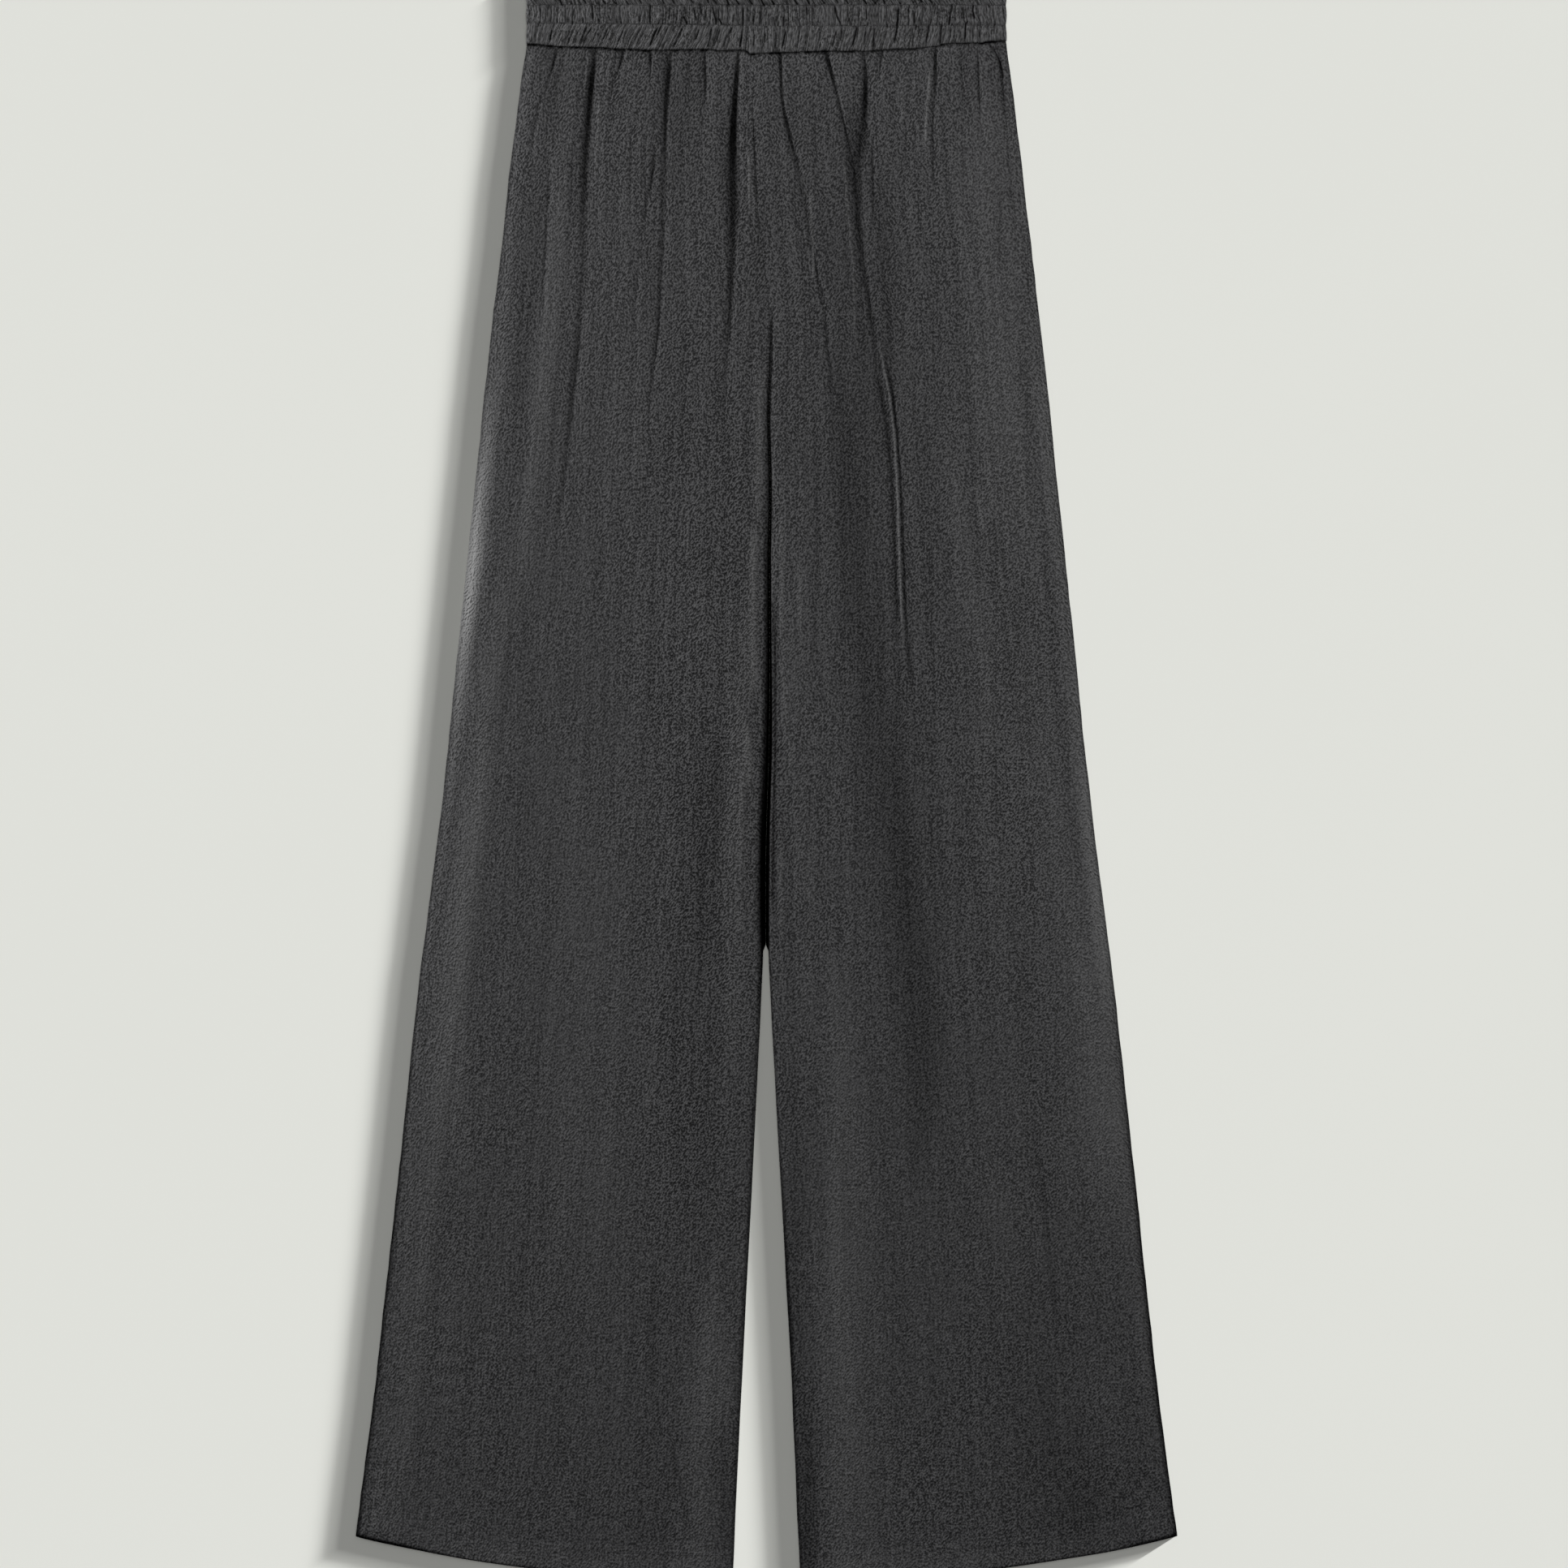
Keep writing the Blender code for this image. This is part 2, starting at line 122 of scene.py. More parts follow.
# Gathers: each is a narrow trench that runs down from the waist seam.
# Rows of below_seam, x, width of the dark trench, drop.
GATHERS = (
    ((-6, -115.5, 3.6, 2.8), (3, -116, 5.8, 2.7), (24, -118.6, 5, 4.4), (45, -120.3, 5.7, 3.4),
     (62, -121.3, 6.7, 2.9), (92, -122.6, 6.2, 2.4), (117, -122.7, 6, 1.4), (145, -122.5, 5.3, 1.1),
     (172, -125.2, 4.2, 1.2), (201, -127, 4.3, 1.7), (250, -132.1, 4.2, 1.4), (300, -137.3, 3.1, 0.9),
     (345, -143.7, 3, 0)),
    ((-6, -64.8, 4.4, 1.2), (5, -65.5, 4.8, 3), (19, -66.5, 4.7, 3.8), (35, -67.9, 4.6, 3.4),
     (62, -68.8, 4, 2.4), (90, -68.6, 5.3, 1.8), (127, -69.6, 3.9, 1.5), (160, -71.5, 4.2, 1.5),
     (195, -73.6, 3, 1.8), (225, -76.9, 3, 0.9), (275, -81.1, 3, 0)),
    ((-6, -41.3, 2.2, 2.6), (3, -41.5, 1.8, 1), (20, -41.3, 2, 1.8), (34, -41, 2.2, 0.9), (50, -41, 2.2, 0)),
    ((-6, -18.4, 2, 1.4), (4, -18.8, 3, 1.7), (18, -20, 3.6, 3.8), (32, -21, 3.9, 4.2), (59, -22.6, 5.6, 5.3),
     (87, -22.6, 8.7, 3.7), (114, -22.2, 8, 3.7), (142, -22.7, 5.4, 2.4), (169, -24.3, 5.3, 2.5),
     (200, -25.7, 3.9, 1.4), (225, -26.5, 4.2, 0.7), (270, -28.2, 4, 0)),
    ((-6, 9.2, 2, 2.2), (2, 9.5, 2.8, 3.1), (36, 10.5, 2.3, 2.1), (52, 13.9, 3.8, 2.8), (66, 17.1, 3.7, 2.3),
     (80, 21.9, 5, 1.2), (110, 27.8, 4.4, 1.5), (148, 33, 3.4, 1.2), (175, 39.5, 3, 0.8), (215, 43.3, 3, 1.3),
     (260, 46.5, 3, 0)),
    ((-6, 39.4, 2.4, 2.6), (3, 40.1, 3.9, 4.7), (17, 44.2, 2.5, 2.9), (32, 48, 3.3, 1.6), (50, 52.1, 1.9, 1.8),
     (69, 56.3, 2.8, 1), (88, 59.4, 2.7, 0.8), (108, 61.3, 2.6, 0)),
    ((-6, 64.8, 3.8, 1.6), (4, 65.6, 2.9, 1.4), (16, 67, 4.1, 2.6), (32, 66.9, 4.1, 4), (46, 66.4, 6.1, 3.4),
     (63, 65.3, 7.9, 3.4), (88, 61.5, 8.6, 2.4), (114, 62, 6.3, 2.9), (142, 65.4, 5.8, 2),
     (169, 69.3, 4.3, 1.9), (197, 73.1, 4.2, 1.3), (228, 78.9, 4.6, 0.2), (270, 83.9, 5, 0.2),
     (330, 87.6, 5, 0)),
    ((-6, 79.1, 1.8, 1.8), (2, 78.5, 1.5, 2.5), (12, 77, 2.8, 1.3), (26, 75.6, 2, 0)),
    ((-6, 114.8, 2.2, 2), (3, 114.5, 2, 3.5), (19, 114.1, 3.2, 2.4), (32, 113.6, 3.8, 1.7),
     (56, 112.6, 2.6, 1.2), (88, 113.2, 2.8, 1.1), (110, 115.1, 2.8, 0)),
    ((-6, -141.4, 1.8, 1), (1, -141.9, 2.6, 3.7), (16, -145.4, 2.1, 1.1), (26, -148.2, 2.2, 0.6),
     (37, -153.2, 2.2, 0.7), (55, -157.2, 2.9, 1), (90, -160.8, 2.4, 0)),
    ((-6, -96.5, 1.8, 1.2), (6, -97.4, 3.2, 3.5), (15, -99.9, 1.6, 0.8), (27, -104.4, 1.7, 0.7),
     (40, -106.9, 2.2, 0.2), (60, -109.9, 2.2, 0)),
    ((-6, -78.7, 1.8, 1.2), (1, -78.7, 2.3, 3.9), (16, -78.6, 1.8, 0.9), (36, -78.1, 1.8, 0)),
    ((60, -73.8, 2.6, 0), (86, -77.3, 2.8, 1.8), (120, -82.9, 3.5, 0.3), (160, -87.3, 2.8, 0.9),
     (205, -91.2, 2.8, 0)),
    ((22, -90.7, 2.6, 0), (57, -91.4, 2.8, 0.6), (88, -91.7, 3.1, 0.7), (135, -92.8, 2.8, 0)),
    ((60, -147.4, 2.8, 0), (91, -147, 2.9, 1.1), (148, -150, 2.8, 0.9), (200, -152, 3, 0)),
    ((-6, 99.1, 2.4, 0.8), (20, 98.2, 2.6, 0.6), (60, 95, 3.1, 0.7), (120, 93.1, 2.6, 0)),
    ((50, 72.2, 2.4, 0), (72, 72, 2.6, 1.3), (105, 72.7, 2.5, 0.8), (155, 71.3, 2.6, 0)),
    ((-6, 132.6, 2.2, 0.6), (20, 132.2, 2.6, 1.2), (60, 135.5, 2.4, 0.2), (100, 138, 2.4, 0)),
    ((-6, 142.9, 2, 0.8), (12, 143.3, 2.8, 1.9), (50, 144.9, 2.2, 0.9), (90, 149.6, 2.2, 0)),
    ((-6, 157, 2.2, 0.6), (14, 158.4, 2.8, 2.6), (60, 163.8, 2.6, 0.8), (130, 168.9, 2.4, 0.5),
     (190, 171.4, 2.4, 0)),
    ((170, 4.6, 1.6, 0), (186, 3.9, 2.2, 1.3), (205, 3.4, 2.6, 2), (216, 3.4, 3.4, 2), (233, 2.4, 3.7, 1.9),
     (253, 2, 3.7, 1.5), (300, 2.2, 3.7, 0.8), (335, 1.9, 3.7, 0)),
)

# Broad soft folds (+) and hollows (-) of cloth that lies loose.
# Rows of below_seam, x, half_width towards -X, half_width towards +X, height.
SWELLS = (
    ((-6, -130, 6, 6, 0), (60, -136, 7, 6, 0.5), (150, -143, 8, 6, 0.85), (250, -152, 10, 7, 0.9),
     (350, -167, 12, 8, 0.9), (450, -190, 18, 5, 0.9), (530, -197, 20, 5, 0.72), (600, -203, 20, 4, 0.72),
     (700, -217, 20, 4, 0.95), (800, -227, 20, 5, 0.9), (900, -238, 20, 7, 0.8), (1000, -250, 20, 8, 0.6),
     (1040, -254, 20, 8, 0.3)),
    ((30, -148, 6, 6, 0), (80, -152, 7, 6, -0.4), (150, -158, 8, 7, -0.6), (250, -167, 8, 8, -0.6),
     (330, -170, 9, 9, -0.2), (400, -164, 9, 9, -0.12), (440, -164, 9, 9, 0)),
    ((90, -172, 6, 8, 0), (120, -176, 7, 8, 0.5), (230, -178, 6, 8, 0.5), (290, -187, 6, 9, 0.6),
     (340, -186, 8, 8, 0.6), (400, -184, 9, 8, 0.2), (450, -184, 9, 8, 0.4), (481, -188, 10, 8, 0.9),
     (553, -199, 11, 9, 1.1), (626, -207, 12, 9, 1.1), (700, -211, 12, 10, 0.9), (740, -207, 12, 10, 0.6),
     (780, -208, 12, 10, 0.1), (880, -212, 12, 10, 0.4), (950, -222, 12, 10, 0)),
    ((-6, -142, 16, 12, -0.4), (12, -140, 16, 12, -0.8), (45, -140, 14, 9, -0.6), (75, -138, 10, 8, -0.2),
     (100, -136, 8, 7, 0)),
    ((-6, -46, 10, 12, -0.7), (20, -52, 11, 12, -0.8), (48, -56, 10, 10, -0.7), (75, -58, 9, 10, -0.4),
     (110, -62, 10, 10, -0.2), (160, -62, 10, 10, -0.1), (220, -48, 12, 14, -0.15), (330, -48, 12, 14, -0.15),
     (380, -48, 12, 12, 0)),
    ((350, -12, 5, 4, 0), (400, -15, 7, 5, 0.7), (450, -17, 8, 6, 0.9), (500, -19, 9, 7, 0.9),
     (540, -20, 9, 7, 0.7), (610, -22.5, 9, 8, 0.5), (650, -24, 8, 8, 0.4), (695, -26, 8, 8, 0)),
    ((440, -40, 9, 5, 0), (500, -43, 12, 7, -0.35), (560, -42, 13, 10, -0.6), (600, -42, 13, 12, -0.6),
     (650, -43, 13, 11, -0.42), (700, -42, 13, 10, -0.32), (750, -41, 14, 9, -0.35), (800, -40, 14, 9, -0.3),
     (850, -35, 12, 9, 0)),
    ((800, -34, 13, 9, 0), (850, -37, 14, 10, 0.6), (895, -34, 18, 14, 1.1), (920, -34, 20, 14, 1.1),
     (945, -42, 16, 9, 0.7), (965, -44, 14, 8, 0.6), (1000, -42, 13, 12, 0.7), (1040, -46, 12, 12, 0.5)),
    ((800, -46, 16, 10, 0), (845, -52, 18, 12, -0.25), (900, -60, 18, 12, -0.2), (960, -66, 18, 14, -0.2),
     (1000, -76, 18, 14, -0.25), (1040, -78, 18, 14, -0.2)),
    ((930, -25, 6, 5, 0), (965, -25, 8, 6, -0.6), (1010, -25, 8, 6, -0.6), (1040, -25, 8, 6, -0.5)),
    ((430, -108, 25, 25, 0), (600, -122, 28, 34, 0.45), (750, -122, 28, 34, 0.45), (920, -132, 25, 25, 0)),
    ((180, 38, 8, 14, 0), (230, 45, 4, 14, -0.5), (270, 50, 4.5, 18, -0.8), (320, 55, 6, 20, -0.9),
     (400, 64, 11, 24, -1), (450, 73, 14, 26, -1), (500, 84, 20, 20, -1.1), (550, 92, 20, 18, -1.15),
     (600, 101, 20, 15, -1.15), (650, 107, 19, 13, -1.15), (700, 109, 17, 12, -1), (740, 107, 14, 10, -0.65),
     (790, 104, 12, 10, 0)),
    ((50, -125, 8, 5, 0), (81, -127, 8, 5, -0.45), (117, -128, 8, 5, -0.3), (140, -128, 8, 5, 0)),
    ((330, -106, 14, 14, 0), (372, -106, 14, 14, 0.35), (408, -106, 14, 14, 0.3), (455, -106, 14, 14, 0)),
    ((485, -80, 14, 14, 0), (517, -80, 16, 14, 0.35), (555, -80, 14, 14, 0)),
    ((100, 46, 8, 8, 0), (117, 49, 9, 9, -0.35), (154, 57, 10, 9, -0.5), (190, 66, 10, 9, -0.5),
     (226, 74, 10, 9, -0.5), (263, 76, 10, 9, -0.3), (300, 78, 10, 9, 0)),
    ((240, 35, 8, 8, 0), (263, 36, 9, 8, -0.3), (299, 36, 9, 8, -0.45), (335, 38, 9, 8, -0.3),
     (372, 37, 9, 8, -0.35), (444, 38, 9, 8, -0.2), (490, 40, 9, 8, 0)),
    ((235, 109, 8, 8, 0), (263, 110, 9, 8, -0.3), (299, 113, 9, 8, -0.4), (335, 120, 9, 8, -0.3),
     (372, 124, 8, 7, -0.3), (400, 128, 8, 7, 0)),
    ((18, 26, 20, 16, 0), (42, 26, 20, 16, -0.35), (75, 26, 20, 16, 0)),
    ((690, 150, 12, 14, 0), (735, 152, 12, 14, 0.3), (771, 156, 12, 14, 0.3), (805, 158, 12, 14, 0)),
    ((700, 198, 8, 8, 0), (745, 201, 8, 8, 0.4), (785, 206, 8, 8, 0.3), (820, 208, 8, 8, 0)),
    ((20, 34, 30, 26, 0), (60, 42, 34, 32, -0.2), (120, 47, 40, 35, -0.32), (200, 60, 45, 38, -0.36),
     (260, 70, 46, 35, -0.34), (320, 80, 46, 28, -0.24), (380, 90, 40, 25, -0.1), (430, 95, 30, 20, 0)),
    ((90, -4, 9, 9, 0), (117, -1, 9, 8, -0.5), (154, -2, 10, 9, -0.5), (190, -5, 11, 8, -0.12),
     (215, -4, 10, 8, 0)),
    ((165, -38, 8, 8, 0), (190, -38, 8, 8, -0.3), (226, -37, 8, 8, -0.3), (260, -36, 8, 8, 0)),
    ((335, 174, 8, 8, 0), (372, 175, 8, 8, -0.4), (410, 178, 8, 8, 0)),
    ((480, -36, 8, 7, 0), (517, -37, 8, 7, 0.4), (560, -38, 8, 7, 0)),
    ((230, 112, 10, 8, 0), (300, 128, 10, 7, 0.6), (350, 136, 10, 7, 0.8), (400, 145, 11, 8, 0.9),
     (440, 150, 12, 8, 0.8), (500, 150, 13, 8, 0.45), (600, 163, 14, 10, 0.4), (700, 172, 14, 10, 0.2),
     (770, 177, 12, 10, 0)),
    ((20, 147, 10, 12, 0), (45, 152, 18, 20, 0.8), (117, 155, 22, 20, 0.75), (190, 160, 24, 18, 0.8),
     (250, 164, 26, 18, 0.9), (300, 168, 26, 18, 0.8), (340, 172, 26, 22, 0.7), (400, 172, 20, 20, 0.5),
     (444, 178, 18, 22, 0.8), (517, 192, 18, 22, 0.8), (590, 204, 18, 22, 0.8), (662, 215, 18, 20, 0.8),
     (735, 222, 18, 20, 0.8), (790, 232, 18, 18, 0.3), (830, 236, 18, 18, 0)),
    ((560, 213, 12, 10, 0), (620, 221, 12, 12, 0.7), (680, 229, 12, 14, 0.9), (740, 237, 12, 14, 0.9),
     (800, 244, 12, 14, 0.2), (830, 246, 12, 14, 0)),
    ((590, 46, 9, 14, 0), (650, 49, 9, 14, 0.4), (700, 51, 10, 15, 0.75), (800, 50, 11, 18, 1.1),
     (880, 50, 12, 20, 1.2), (940, 52, 12, 24, 1), (1000, 50, 11, 28, 0.9), (1040, 52, 11, 30, 0.7)),
    ((430, 13, 6, 8, 0), (480, 13, 7, 8, -0.25), (560, 12, 7, 9, -0.4), (610, 14, 7, 11, -0.35),
     (650, 20, 7, 10, -0.2), (690, 22, 7, 10, 0)),
    ((630, 12, 6, 8, 0), (700, 17, 8, 8, -0.35), (800, 21, 8, 7, -0.7), (900, 25, 9, 7, -0.65),
     (950, 28, 10, 9, -1.15), (1040, 28, 10, 9, -1.4)),
    ((870, 196, 25, 28, 0), (915, 196, 28, 22, -0.35), (955, 200, 34, 26, -0.6), (990, 214, 36, 26, -0.7),
     (1040, 220, 36, 26, -0.6)),
    ((822, 186, 20, 18, 0), (848, 190, 20, 18, -0.35), (880, 186, 28, 24, -0.25), (930, 186, 28, 20, -0.1),
     (960, 190, 20, 20, 0)),
    ((880, 226, 9, 9, 0), (915, 228, 10, 10, 0.3), (945, 232, 10, 10, 0.1), (1000, 258, 12, 12, 0.1),
     (1040, 262, 12, 12, 0.1)),
    ((890, 250, 12, 14, 0), (930, 252, 14, 14, -0.25), (975, 246, 14, 14, -0.3), (1040, 250, 14, 14, -0.2)),
    ((750, 154, 9, 9, 0), (790, 158, 9, 9, 0.5), (840, 163, 9, 9, 0.4), (895, 167, 9, 9, 0)),
    ((365, 13, 6, 7, 0), (400, 14.5, 6, 8, 0.4), (450, 16, 7, 8, 0.3), (500, 20, 7, 8, 0.4),
     (600, 26, 7, 9, 0.3), (695, 28, 7, 9, 0)),
    ((60, 74, 5, 8, 0), (100, 77, 6, 9, -0.7), (150, 80, 6, 9, -0.8), (200, 84, 6, 9, -0.6),
     (250, 88, 6, 9, -0.3), (300, 92, 6, 9, 0)),
    ((25, 57, 4, 4, 0), (59, 58, 5, 4, -0.8), (80, 57, 5, 3, -0.7), (105, 56, 4, 3, 0)),
)

# Pressed lines in the cloth: sharp ridges (+) and grooves (-).
# height, half_width, then x and below_seam of each of the line's points in turn.
CREASES = (
    (1.05, 0.72, 76.5, 197, 77.9, 208, 83.4, 235, 86.8, 263, 88.3, 290, 89.4, 318, 90.2, 345, 91.2, 373, 92.1,
     400, 92.7, 410),
    (-0.6, 1.3, 78.2, 197, 79.8, 208, 85.1, 235, 88.6, 263, 90.4, 290, 91.6, 318, 92.6, 345, 93.8, 373, 96.1,
     410, 99.7, 445),
    (-0.62, 1.5, 72.1, 208, 78.1, 235, 82.4, 263, 84.8, 290, 86.5, 318, 87.4, 345, 88.4, 373, 89.6, 400),
    (0.42, 0.9, 52, 66, 54.7, 104, 58.9, 148, 60.4, 204),
    (0.55, 0.9, 29.6, 96, 30.4, 118, 31.8, 138, 32.2, 158),
    (0.7, 1, 110.6, 14, 110.2, 25, 108.3, 45, 107.5, 68), (0.31, 0.9, 92.8, 18, 92, 55),
    (0.22, 0.9, 98.3, 92, 96.9, 128), (0.39, 0.9, -113, 36, -114.4, 60, -115, 84),
    (0.72, 0.8, -11.9, 68, -11.4, 112), (0.5, 2.4, -12.4, 458, -11.5, 480, -11.3, 500),
    (0.36, 0.8, -11.9, 156, -12.9, 200), (-0.64, 0.8, -9, 46, -6.2, 106), (-0.32, 0.8, -5.8, 108, -4.4, 150),
    (0.46, 3, -2.4, 212, -4.4, 260, -5.2, 320), (0.58, 2.7, -7.6, 318, -8.6, 350, -8.9, 395, -8.6, 442),
    (0.24, 2, -12.7, 458, -16.2, 495, -17.2, 562), (0.31, 1.6, 10.2, 316, 10.4, 398),
    (0.17, 1.8, 11.6, 430, 14.2, 460, 17.2, 494), (0.31, 1.6, 22.2, 350, 22.4, 398),
    (0.27, 1.8, 9.5, 542, 10.5, 602), (-0.85, 1.3, 5.4, 360, 6, 424, 5.8, 479, 4.9, 520, 4.4, 561, 4.4, 604),
    (0.27, 1.1, -53.6, 316, -53, 350), (0.19, 1.1, -76.5, 476, -76.9, 512), (-0.34, 4, -32, 465, -35.4, 560),
    (-0.16, 5, 131, 385, 135.8, 425, 141, 465), (0.33, 1.6, 141.6, 294, 147, 328),
    (0.46, 1.6, 157, 344, 163.4, 382, 167, 410), (0.23, 1.4, 151.4, 372, 152, 404),
    (-0.14, 5, 163.5, 390, 168.8, 432, 174, 480), (-0.3, 4, 152.7, 315, 159.7, 360, 167.7, 405),
    (0.08, 3, 104.2, 480, 107.3, 540, 111.3, 600, 115.8, 650, 117.3, 705),
    (-0.18, 2.2, -62.3, 590, -62.7, 640, -62.9, 690, -58.7, 730, -60.1, 785),
    (-0.21, 2.2, -75.6, 822, -77, 870, -76.4, 905, -69.5, 950),
    (-0.31, 1.8, -64.6, 945, -57.6, 975, -51.6, 1005), (-0.27, 2, 180, 735, 186, 765, 191, 810, 197, 865),
    (0.2, 1.4, 193.8, 876, 198.3, 905, 201.8, 950), (-0.14, 1.5, 216, 959, 236, 966, 257, 974),
    (-0.27, 1.5, 249, 958, 259, 971, 269, 983), (-0.5, 1.5, 22.6, 966, 29, 968, 36.4, 966),
    (-0.35, 1.2, 152.6, 99.4, 163, 98.6, 174.6, 99.2), (-0.3, 1.2, 158.4, 101, 158, 125, 158.6, 150),
    (-0.85, 0.8, 149.6, -4.2, 152.2, -1, 155.2, 3.2, 157.6, 8, 159.6, 14, 160.6, 22),
    (-0.55, 0.6, 152.2, -1.2, 157, -1, 161.5, -0.8), (0.5, 0.8, 146.6, -2.6, 148.2, -1.2),
    (-0.3, 0.8, 131, 5, 140, 2.4, 150, 1.2), (-0.3, 1.2, -173, 112.4, -166, 112, -158.6, 112.8),
)

# Folded edges that catch the light: below_seam, on the wearer's right, on the left.
EDGE_LIGHT = (
    (-6, 0, 0), (150, 0, 0), (190, 0.05, 0.04), (225, 0.1, 0.12), (257, 0.3, 0.16), (300, 0.64, 0.17),
    (345, 1.1, 0.16), (378, 1.05, 0.2), (413, 0.58, 0.2), (465, 0.2, 0.22), (516, 0.05, 0.35),
    (590, 0.06, 0.38), (650, 0.06, 0.18), (693, 0.05, 0.07), (797, 0, 0.14), (900, 0, 0.08), (1040, 0, 0),
)

# Shade along the slit: below_seam, reach on the wearer's right front, on the left front, strength on each.
SLIT_SHADE = (
    (180, 0.8, 0.4, 0, 0), (210, 1, 0.5, 0.4, 0.3), (235, 2, 0.5, 0.5, 0.5), (262, 2.6, 0.6, 0.55, 0.5),
    (314, 3.2, 0.8, 0.62, 0.6), (369, 3.3, 0.7, 0.85, 0.7), (424, 3.5, 0.7, 0.88, 0.7),
    (479, 3.7, 0.7, 0.88, 0.7), (510, 4.1, 0.7, 0.97, 0.7), (534, 4.2, 0.8, 1, 0.8), (590, 4, 0.9, 1, 0.8),
    (612, 3.4, 1.4, 1, 0.8), (628, 3, 1.6, 0.9, 0.7), (660, 2.4, 1.9, 0.7, 0.6), (720, 2.3, 2.2, 0.62, 0.6),
    (820, 2.2, 2.4, 0.6, 0.8), (950, 2.2, 2.4, 0.62, 0.8), (1040, 2.2, 2.4, 0.65, 0.7),
)

# Each side's own painted shades: strength of the painted shade in the fold beside the inseam; where the
# painted dark corner of the hem starts, how soon it is full (shares of the width) and its strength.
CORNERS = {-1: (0.25, 0.68, 0.22, 0.54), 1: (0.62, 0.82, 0.08, 0.40)}
# The fold beside the inseam gets painted shade.
INSEAM_FOLD = 865 * MM           # depth where that fold is darkest
FOLD_ABOVE, FOLD_BELOW = 95 * MM, 50 * MM   # and how far it reaches up and down from there
# The gathers' trenches get painted shade.
TRENCH_FULL = 5.6                # depth at which a trench would be black
TRENCH_SHADES = (0.05, 0.85)     # what the light takes off that shade, and the darkest it gets
# Strength of the painted shade in the hollows and of the painted highlight on the ridges of folds,
# pressed lines and stripes.
FORM_SHADES = ((0.30, 0.10), (0.75, 0.42), (0.13, 0.03))
# Painted shade along the outer edge and along the waist seam.
LOWER_LEG = (520 * MM, 300 * MM) # from where, and over how far, the outer edge gets darker and softer
SEAM_LINE, BAND_SEAM_LINE = 1.35 * MM, 0.75 * MM    # half_width of the waist seam's dark line

# Where the puckers are livelier (+) or calmer (-): x, below_seam, half_width, half_length, by what share.
LIVELY = (
    (-38, 460, 40, 250, 0.95), (-150, 400, 52, 320, -0.32), (-80, 190, 36, 110, -0.16),
    (-115, 620, 32, 90, -0.15), (-58, 735, 22, 50, 0.55), (70, 760, 80, 110, -0.24), (172, 440, 34, 150, 0.75),
    (130, 985, 130, 70, 0.3),
)

# The waist seam's small steps where two gathers are caught one over the other: x, further down.
SEAM_STEPS = (
    (-162, 0.1), (-152, 0.1), (-138, 0.8), (-124, 0.1), (-110, 0.1), (-98, 0.6), (-84, 0.5), (-66, 0),
    (-50, -0.7), (-38, -0.8), (-30, 0.1), (-21, -0.9), (-13.2, -0.3), (-11, 1.9), (4, 1.1), (28, 0.6), (38, 0),
    (50, 0.5), (66, 0.9), (80, 0.3), (94, 0.1), (105, 0.1), (116.6, -1.2), (118.8, -2), (127, -2.4),
    (138, -1.6), (146.5, -1.4), (148.5, -2.4), (162, -1.8),
)

# Tiers of the shirring: height over the seam line of the rows of stitches, and of the top.
STITCH_ROWS = (0.0, 15.6, 29.2, 43.0)
TIER_EDGES = np.array(STITCH_ROWS + (BAND_HEIGHT / MM,)) * MM
STITCH_PINCH = 0.7 * MM          # how far to both sides a row of stitches pulls the cloth in
# How far the first row above the seam wanders off the level: x, up.
ROW_TILT = ((-162, 1.4), (-60, 0.6), (0, -0.6), (162, -0.2))
# Lowest tier: x, lean of its gathers in degrees (positive leans towards +X upwards).
LEANS = (
    (-162, 4), (-140, 20), (-112, 25), (-46, 24), (-24, 10), (-8, 0), (20, 8), (58, 15), (119, 12), (141, 0),
    (160, -5),
)
# Tiers above it: mean lean, its swing to both sides, length of the swing and its row of the noise.
UPPER_LEANS = ((0.0, 7.0, 28, 0.2), (-24.0, 14.0, 30, 0.7), (0.0, 6.0, 40, 0.9))
# Puffs along a tier: their widths and how often each comes.
PUFF_WIDTHS = (1.9, 2.5, 3.1, 4.0, 5.4)
PUFF_ODDS = (0.24, 0.28, 0.24, 0.16, 0.08)
PUFFS = 200
STROKES = 120
# Height of the shirring in its valleys, what a full puff adds, and what a tight crease takes away.
VALLEY_RISE, PUFF_RISE, STROKE_DROP = 0.75, 2.1, 0.75 * MM

